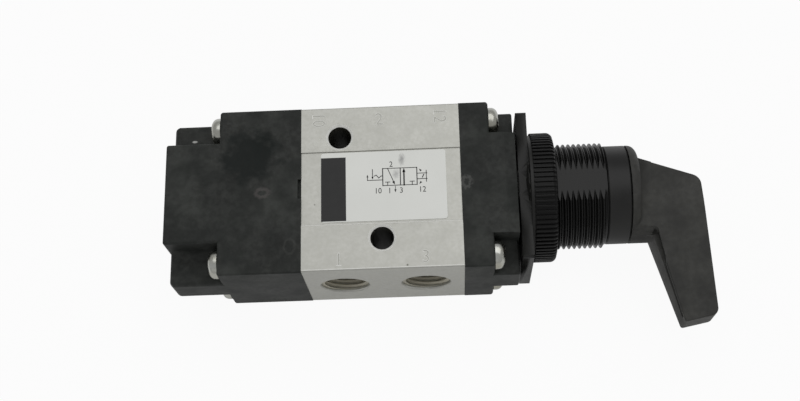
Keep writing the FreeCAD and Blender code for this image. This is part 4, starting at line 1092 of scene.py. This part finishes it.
def add_smudges(tree, shader, colour, other, size, rough_low, rough_high):
    """Cloudy change between two colours and between two roughnesses."""
    smudge = node(tree, "ShaderNodeGroup", node_tree=SMUDGES)
    smudge.inputs["Size"].default_value = size
    mix = node(tree, "ShaderNodeMix", data_type="RGBA")
    mix.inputs["A"].default_value = (*colour, 1.0)
    mix.inputs["B"].default_value = (*other, 1.0)
    tree.links.new(smudge.outputs["Mask"], mix.inputs["Factor"])
    tree.links.new(mix.outputs["Result"], shader.inputs["Base Color"])
    ramp = node(tree, "ShaderNodeMapRange")
    ramp.inputs["To Min"].default_value = rough_low
    ramp.inputs["To Max"].default_value = rough_high
    tree.links.new(smudge.outputs["Mask"], ramp.inputs["Value"])
    tree.links.new(ramp.outputs["Result"], shader.inputs["Roughness"])


def lay_over(tree, shader, mask, colour, share):
    """Mixes a share of a colour over the one that is there, where the mask says."""
    amount = node(tree, "ShaderNodeMath", operation="MULTIPLY")
    amount.inputs[1].default_value = share
    tree.links.new(mask, amount.inputs[0])
    mix = node(tree, "ShaderNodeMix", data_type="RGBA")
    mix.inputs["B"].default_value = (*colour, 1.0)
    tree.links.new(amount.outputs[0], mix.inputs["Factor"])
    tree.links.new(shader.inputs["Base Color"].links[0].from_socket, mix.inputs["A"])
    tree.links.new(mix.outputs["Result"], shader.inputs["Base Color"])


def add_chalk(tree, shader, colour, size, share):
    """A finer layer of cloudy patches over the colour."""
    smudge = node(tree, "ShaderNodeGroup", node_tree=SMUDGES)
    smudge.inputs["Size"].default_value = size
    smudge.inputs["Sharpness"].default_value = 4.0
    lay_over(tree, shader, smudge.outputs["Mask"], colour, share)


print("materials so far:", len(bpy.data.materials))

# %% [markdown]
# A spot goes over the colour that is there, so its order counts. Two spots of one centre make
# a ring: the inner mask is taken away from the outer one. The drawn lines are a second bump that
# takes up the normal of the first.

# %% Add spots and drawn lines
def spot_mask(tree, centre, reach, ragged, soft):
    """The mask of one spot. Centre and reach are (x, y, z) in mm, x from the middle of the body."""
    spot = node(tree, "ShaderNodeGroup", node_tree=SPOT)
    x, y, z = centre
    spot.inputs["Centre"].default_value = ((x + body_x) * MM, y * MM, z * MM)
    spot.inputs["Per Metre"].default_value = [1000.0 / r for r in reach]
    spot.inputs["Ragged"].default_value = ragged
    spot.inputs["Soft"].default_value = soft
    return spot.outputs["Mask"]


def add_spot(tree, shader, colour, share, centre, reach, ragged=0.8, soft=0.5, hollow=None):
    """Lays one spot over the colour, or a ring if hollow gives its inner reach."""
    mask = spot_mask(tree, centre, reach, ragged, soft)
    if hollow:
        inner = spot_mask(tree, centre, hollow, ragged, soft)
        ring = node(tree, "ShaderNodeMath", operation="SUBTRACT", use_clamp=True)
        tree.links.new(mask, ring.inputs[0])
        tree.links.new(inner, ring.inputs[1])
        mask = ring.outputs[0]
    lay_over(tree, shader, mask, colour, share)


def add_drawn_lines(tree, shader, depth):
    """Streaks of a depth in mm, over the grain that the shader has."""
    drawn = node(tree, "ShaderNodeGroup", node_tree=DRAWN)
    bump = node(tree, "ShaderNodeBump")
    bump.inputs["Distance"].default_value = depth * MM
    tree.links.new(drawn.outputs["Height"], bump.inputs["Height"])
    tree.links.new(shader.inputs["Normal"].links[0].from_socket, bump.inputs["Normal"])
    tree.links.new(bump.outputs["Normal"], shader.inputs["Normal"])


print("inputs of the drawn lines:", len(DRAWN.interface.items_tree) - 1)

# %% [markdown]
# With these effects two recipes give nearly all finishes: one for moulded plastic and one for
# metal. A finish is then one line with two near colours and a roughness.

# %% Mix plastic and metal
PLASTIC_GRAIN = 0.35
METAL_GRAIN = 0.2
METAL_CLOUDS = 5.0


def moulded(name, dark, light, rough, grain_depth=0.012, size=14.0, specular=0.3):
    """Moulded plastic or paper: two near colours in soft clouds, with a fine grain."""
    material, tree, shader = surface(name, dark, rough, specular=specular)
    add_smudges(tree, shader, dark, light, size, rough - 0.06, rough + 0.08)
    add_grain(tree, shader, PLASTIC_GRAIN, grain_depth)
    return material


def metal(name, colour, other, rough, grain_depth=0.004):
    """Bare or plated metal, a little cloudy in colour and gloss."""
    material, tree, shader = surface(name, colour, rough, metallic=1.0)
    add_smudges(tree, shader, colour, other, METAL_CLOUDS, rough - 0.05, rough + 0.05)
    add_grain(tree, shader, METAL_GRAIN, grain_depth)
    return material


def inside(material):
    return material.node_tree, material.node_tree.nodes["Principled BSDF"]


print("grain in mm:", PLASTIC_GRAIN, "on plastic,", METAL_GRAIN, "on metal")

# %% [markdown]
# The body is dull aluminium with two small pits, and the label has two grey finger marks. The
# marks are laid one by one, since noise alone never puts them where they are.

# %% Mark the body and the label
def body_metal():
    material = metal("body_aluminium", (0.46, 0.46, 0.425), (0.52, 0.52, 0.48), 0.48)
    tree, shader = inside(material)
    add_chalk(tree, shader, (0.58, 0.58, 0.55), 0.9, 0.35)
    add_spot(tree, shader, (0.12, 0.12, 0.1), 0.8, (6.75, -23.0, 15), (0.35, 0.35, 0.5))
    add_spot(tree, shader, (0.2, 0.2, 0.18), 0.7, (-18.5, -4.7, 14.65), (0.3, 0.3, 0.5))
    add_drawn_lines(tree, shader, 0.003)
    return material


def label_paper():
    material = moulded("label_film", (0.9, 0.91, 0.87), (0.94, 0.95, 0.91), 0.5, 0.001)
    tree, shader = inside(material)
    add_spot(tree, shader, (0.3, 0.3, 0.3), 0.7, (5.85, 7.7, 14.8), (1.1, 2.0, 1), 1.3, 0.8)
    add_spot(tree, shader, (0.4, 0.4, 0.4), 0.6, (4.2, 3.4, 14.8), (1.2, 1.5, 1), 1.3, 0.8)
    return material


materials = {
    "body_aluminium": body_metal(),
    "label_film": label_paper(),
}
print("nodes in the body's material:", len(materials["body_aluminium"].node_tree.nodes))

# %% [markdown]
# The caps are chalky black, with one dark greasy patch, faint rings and a white nick. The lever is
# the palest of the black parts. Two layers of chalk of different size look more like handling
# than one strong layer does.

# %% Mark the caps and the lever
def cap_moulding():
    material = moulded("cap_plastic", (0.022, 0.023, 0.021), (0.043, 0.046, 0.042), 0.55, specular=0.2)
    tree, shader = inside(material)
    add_chalk(tree, shader, (0.062, 0.066, 0.062), 1.3, 0.45)
    add_chalk(tree, shader, (0.008, 0.01, 0.009), 6.0, 0.55)
    patch = (0.004, 0.007, 0.006)
    add_spot(tree, shader, patch, 0.9, (-36.6, 10.5, 15), (10.0, 8.5, 6), 1.8, 0.45)
    rings = (
        ((0.2, 0.17, 0.17), 0.22, (-33.1, -0.8, 15), (2.6, 1.8, 2), 0.8, 0.3, (1.5, 0.8, 2)),
        ((0.15, 0.15, 0.14), 0.16, (-25.4, -16.6, 15), (2.0, 2.6, 2), 0.5, 0.3, (1.5, 2.1, 2)),
    )
    for ring in rings:
        add_spot(tree, shader, *ring)
    add_spot(tree, shader, (0.6, 0.6, 0.58), 0.9, (-54.3, 19.0, 6.0), (0.9, 0.4, 2), 0.8, 0.4)
    scuff = ((0.25, 0.25, 0.24), 0.22, (23.7, 0.3, 15), (1.9, 2.2, 2), 1.6, 0.4, (0.9, 1.2, 2))
    add_spot(tree, shader, *scuff)
    return material


def lever_moulding():
    material = moulded("lever_plastic", (0.034, 0.034, 0.031), (0.05, 0.05, 0.045), 0.55)
    tree, shader = inside(material)
    add_chalk(tree, shader, (0.08, 0.08, 0.074), 1.6, 0.35)
    add_chalk(tree, shader, (0.018, 0.018, 0.018), 7.0, 0.5)
    return material


materials["cap_plastic"] = cap_moulding()
materials["lever_plastic"] = lever_moulding()
print("marked finishes:", sorted(materials))

# %% [markdown]
# The other slots need only the two recipes. Blacks differ mostly in gloss: the nut is the
# darkest, the bush a little lighter. The pieces inside aren't seen in the photograph, so they
# have the usual look of steel, brass, pale plastic and rubber.

# %% Make the plain finishes
materials.update({
    "bush_plastic": moulded(
        "bush_plastic", (0.012, 0.012, 0.011), (0.019, 0.019, 0.018), 0.42, 0.006),
    "cover_plastic": moulded(
        "cover_plastic", (0.012, 0.012, 0.012), (0.022, 0.022, 0.021), 0.42, 0.006),
    "nut_plastic": moulded(
        "nut_plastic", (0.0045, 0.0045, 0.0045), (0.008, 0.008, 0.008), 0.36, 0.003, specular=0.2),
    # The darker, warmer clouds on the zinc are partly its own tint and partly a painted reflection of
    # a dark room
    "screw_zinc": metal("screw_zinc", (0.58, 0.59, 0.56), (0.4, 0.39, 0.33), 0.26),
    "spindle_steel": metal("spindle_steel", (0.45, 0.45, 0.45), (0.5, 0.5, 0.5), 0.35),
    "spring_steel": metal("spring_steel", (0.4, 0.4, 0.4), (0.48, 0.48, 0.48), 0.35),
    "spool_aluminium": metal("spool_aluminium", (0.55, 0.55, 0.56), (0.6, 0.6, 0.61), 0.25),
    "bearing_brass": metal("bearing_brass", (0.6, 0.45, 0.2), (0.65, 0.5, 0.25), 0.35),
    "bearing_plastic": moulded("bearing_plastic", (0.7, 0.7, 0.66), (0.74, 0.74, 0.7), 0.45),
    "seal_rubber": moulded("seal_rubber", (0.02, 0.02, 0.02), (0.03, 0.03, 0.03), 0.6),
})
print("finishes:", len(materials))

# %% [markdown]
# Some pieces share a slot with their neighbour but look different on the real valve: the ink on the
# label, the glossier black of the cut thread, and the raw, warmer threads of the ports. Others carry
# painted light: a near-white painted highlight on the stamp rims, the two edge lines and the hole
# chamfers, and painted shade on the stamp strokes and on the wall of the mounting holes.

# %% Make the special finishes
special = {
    "label_symbol": "label_ink",
    "label_block": "label_ink",
    "bush_thread": "thread_black",
    "bush_nose": "thread_black",
    "stamp_rims": "painted_highlight",
    "stamp_strokes": "painted_groove_shade",
    "highlight_channel_edge": "painted_highlight",
    "highlight_front_edge": "painted_highlight",
    "hole_chamfer_1": "painted_highlight",
    "hole_chamfer_2": "painted_highlight",
    "hole_shade_lining_1": "painted_hole_shade",
    "hole_shade_lining_2": "painted_hole_shade",
    "port_thread_1": "raw_thread",
    "port_thread_2": "raw_thread",
    "port_thread_3": "raw_thread",
}
finishes = {
    "label_ink": moulded(
        "label_ink", (0.022, 0.022, 0.022), (0.035, 0.035, 0.035), 0.5, 0.001, 3.0),
    "thread_black": moulded(
        "thread_black", (0.0045, 0.0045, 0.0045), (0.009, 0.009, 0.0085), 0.24, 0.002, specular=0.3),
    # A near-white finish that paints highlights on the stamp rims, the two edge lines and the hole
    # chamfers
    "painted_highlight": moulded("painted_highlight", (0.84, 0.84, 0.8), (0.97, 0.97, 0.93), 0.4, 0.002, 1.2),
    # Painted shade of a stamp's groove
    "painted_groove_shade": metal("painted_groove_shade", (0.34, 0.34, 0.31), (0.46, 0.46, 0.42), 0.5),
    # Painted shade on the wall of a mounting hole
    "painted_hole_shade": moulded("painted_hole_shade", (0.02, 0.02, 0.015), (0.05, 0.05, 0.04), 0.5),
    "raw_thread": moulded("raw_thread", (0.42, 0.4, 0.32), (0.52, 0.49, 0.4), 0.35, 0.003),
}
print("special finishes:", len(finishes), "on", len(special), "pieces")

# %% [markdown]
# A CAD node takes the finish of the slot that its record names. A piece made here takes the
# finish of its own slot, unless it has a special one. One loop over the names can't forget a piece,
# where a line for each piece could.

# %% Paint every piece
def paint(piece, material):
    piece.data.materials.clear()
    piece.data.materials.append(material)


for part in frame["record"]["subparts"]:
    paint(nodes[part["node"]], materials[part["material_slot"]])
for piece_name, slot_name in slots_of.items():
    paint(bpy.data.objects[piece_name], materials[slot_name])
for printed in numbers:
    special[printed.name] = "label_ink"
for piece_name, finish_name in special.items():
    paint(bpy.data.objects[piece_name], finishes[finish_name])
print("materials:", len(bpy.data.materials))

# %% [markdown]
# ## Floor, light and camera
#
# The floor is pale. The camera sees it almost white, through Light Path's Is Camera Ray, and
# it still takes the valve's shadow. Mirrored in the parts it is darker, as it would be with
# a dark room around it. A plain white plane with strong light would do too, but then its bounce
# would lift the black parts to grey.

# %% Lay the floor
FLOOR_TO_CAMERA = 0.94
FLOOR_TO_MIRROR = 0.35
floor_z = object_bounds()[0].z
bm = bmesh.new()
bmesh.ops.create_grid(bm, x_segments=1, y_segments=1, size=2.0)
bmesh.ops.translate(bm, verts=bm.verts, vec=(0, 0, floor_z))
floor = mesh_object(bm, "floor")
floor_material = bpy.data.materials.new("pale_floor")
floor_material.use_nodes = True
tree = floor_material.node_tree
shader = tree.nodes["Principled BSDF"]
shader.inputs["Base Color"].default_value = (0.85, 0.85, 0.85, 1)
shader.inputs["Roughness"].default_value = 0.9
shader.inputs["Specular IOR Level"].default_value = 0.1
glow = node(tree, "ShaderNodeEmission")
glow.inputs["Strength"].default_value = 1.0
seen = node(tree, "ShaderNodeLightPath")
mirrored = node(tree, "ShaderNodeMath", operation="MAXIMUM")
tree.links.new(seen.outputs["Is Glossy Ray"], mirrored.inputs[0])
tree.links.new(seen.outputs["Is Transmission Ray"], mirrored.inputs[1])
mirrored_share = node(tree, "ShaderNodeMath", operation="MULTIPLY")
mirrored_share.inputs[1].default_value = FLOOR_TO_MIRROR
tree.links.new(mirrored.outputs[0], mirrored_share.inputs[0])
share = node(tree, "ShaderNodeMath", operation="MULTIPLY_ADD")
share.inputs[1].default_value = FLOOR_TO_CAMERA
tree.links.new(seen.outputs["Is Camera Ray"], share.inputs[0])
tree.links.new(mirrored_share.outputs[0], share.inputs[2])
blend = node(tree, "ShaderNodeMixShader")
tree.links.new(share.outputs[0], blend.inputs[0])
tree.links.new(shader.outputs[0], blend.inputs[1])
tree.links.new(glow.outputs[0], blend.inputs[2])
tree.links.new(blend.outputs[0], tree.nodes["Material Output"].inputs["Surface"])
paint(floor, floor_material)
print("the floor is at", round(floor_z / MM, 2), "mm")

# %% [markdown]
# The photograph was taken in soft light with hardly a shadow. An even white surround gives most
# of it, one large lamp above models the faces, and a weak one in front lifts the near side. A
# smaller lamp would draw hard shadows that the photograph doesn't have.

# %% Set the lamps
SURROUND = 0.43
TOP_WATTS = 5.7
FRONT_WATTS = 0.3
world = bpy.data.worlds.new("studio")
bpy.context.scene.world = world
world.use_nodes = True
world.node_tree.nodes["Background"].inputs["Color"].default_value = (1, 1, 1, 1)
world.node_tree.nodes["Background"].inputs["Strength"].default_value = SURROUND


def lamp(name, place, aim, size, watts):
    data = bpy.data.lights.new(name, "AREA")
    data.shape = "RECTANGLE"
    data.size, data.size_y = size
    data.energy = watts
    made = bpy.data.objects.new(name, data)
    bpy.context.scene.collection.objects.link(made)
    made.location = place
    made.rotation_euler = (Vector(aim) - Vector(place)).to_track_quat("-Z", "Y").to_euler()
    print(name, "watts:", watts)


VALVE_MIDDLE = ((cad_box[0].x + cad_box[1].x) / 2, 0, 0)
lamp("top_lamp", (0.2, 0.5, 1.3), VALVE_MIDDLE, (1.6, 1.2), TOP_WATTS)
lamp("front_lamp", (-0.4, -1.3, 0.6), VALVE_MIDDLE, (1.2, 0.6), FRONT_WATTS)

# %% [markdown]
# ## The camera
#
# The photograph looks almost straight down on the label, from a little in front of the ports.
# The camera's place, aim and roll were worked out from the outline of the body, whose
# edges are square to each other, so the picture lines up with the CAD model.

# %% Place the camera
CAMERA_PLACE = Vector((-31.10, -116.86, 332.37)) * MM
CAMERA_FORWARD = Vector((-0.0364, 0.3335, -0.9421))
CAMERA_RIGHT = Vector((0.9986, -0.0233, -0.0468))
PHOTO_WIDTH = 800
FOCAL_PIXELS = 1224.42
SENSOR = 36.0
back = -CAMERA_FORWARD.normalized()
up = back.cross(CAMERA_RIGHT).normalized()
right_hand = up.cross(back)
turn = Matrix((right_hand, up, back)).transposed().to_4x4()
camera_data = bpy.data.cameras.new("photo_camera")
camera_data.sensor_width = SENSOR
camera_data.lens = SENSOR * FOCAL_PIXELS / PHOTO_WIDTH
camera_data.clip_start = 0.01
camera = bpy.data.objects.new("photo_camera", camera_data)
bpy.context.scene.collection.objects.link(camera)
camera.matrix_world = Matrix.Translation(CAMERA_PLACE) @ turn
bpy.context.scene.camera = camera
bpy.context.scene.view_settings.view_transform = "Standard"
print("lens in mm:", round(camera_data.lens, 2))
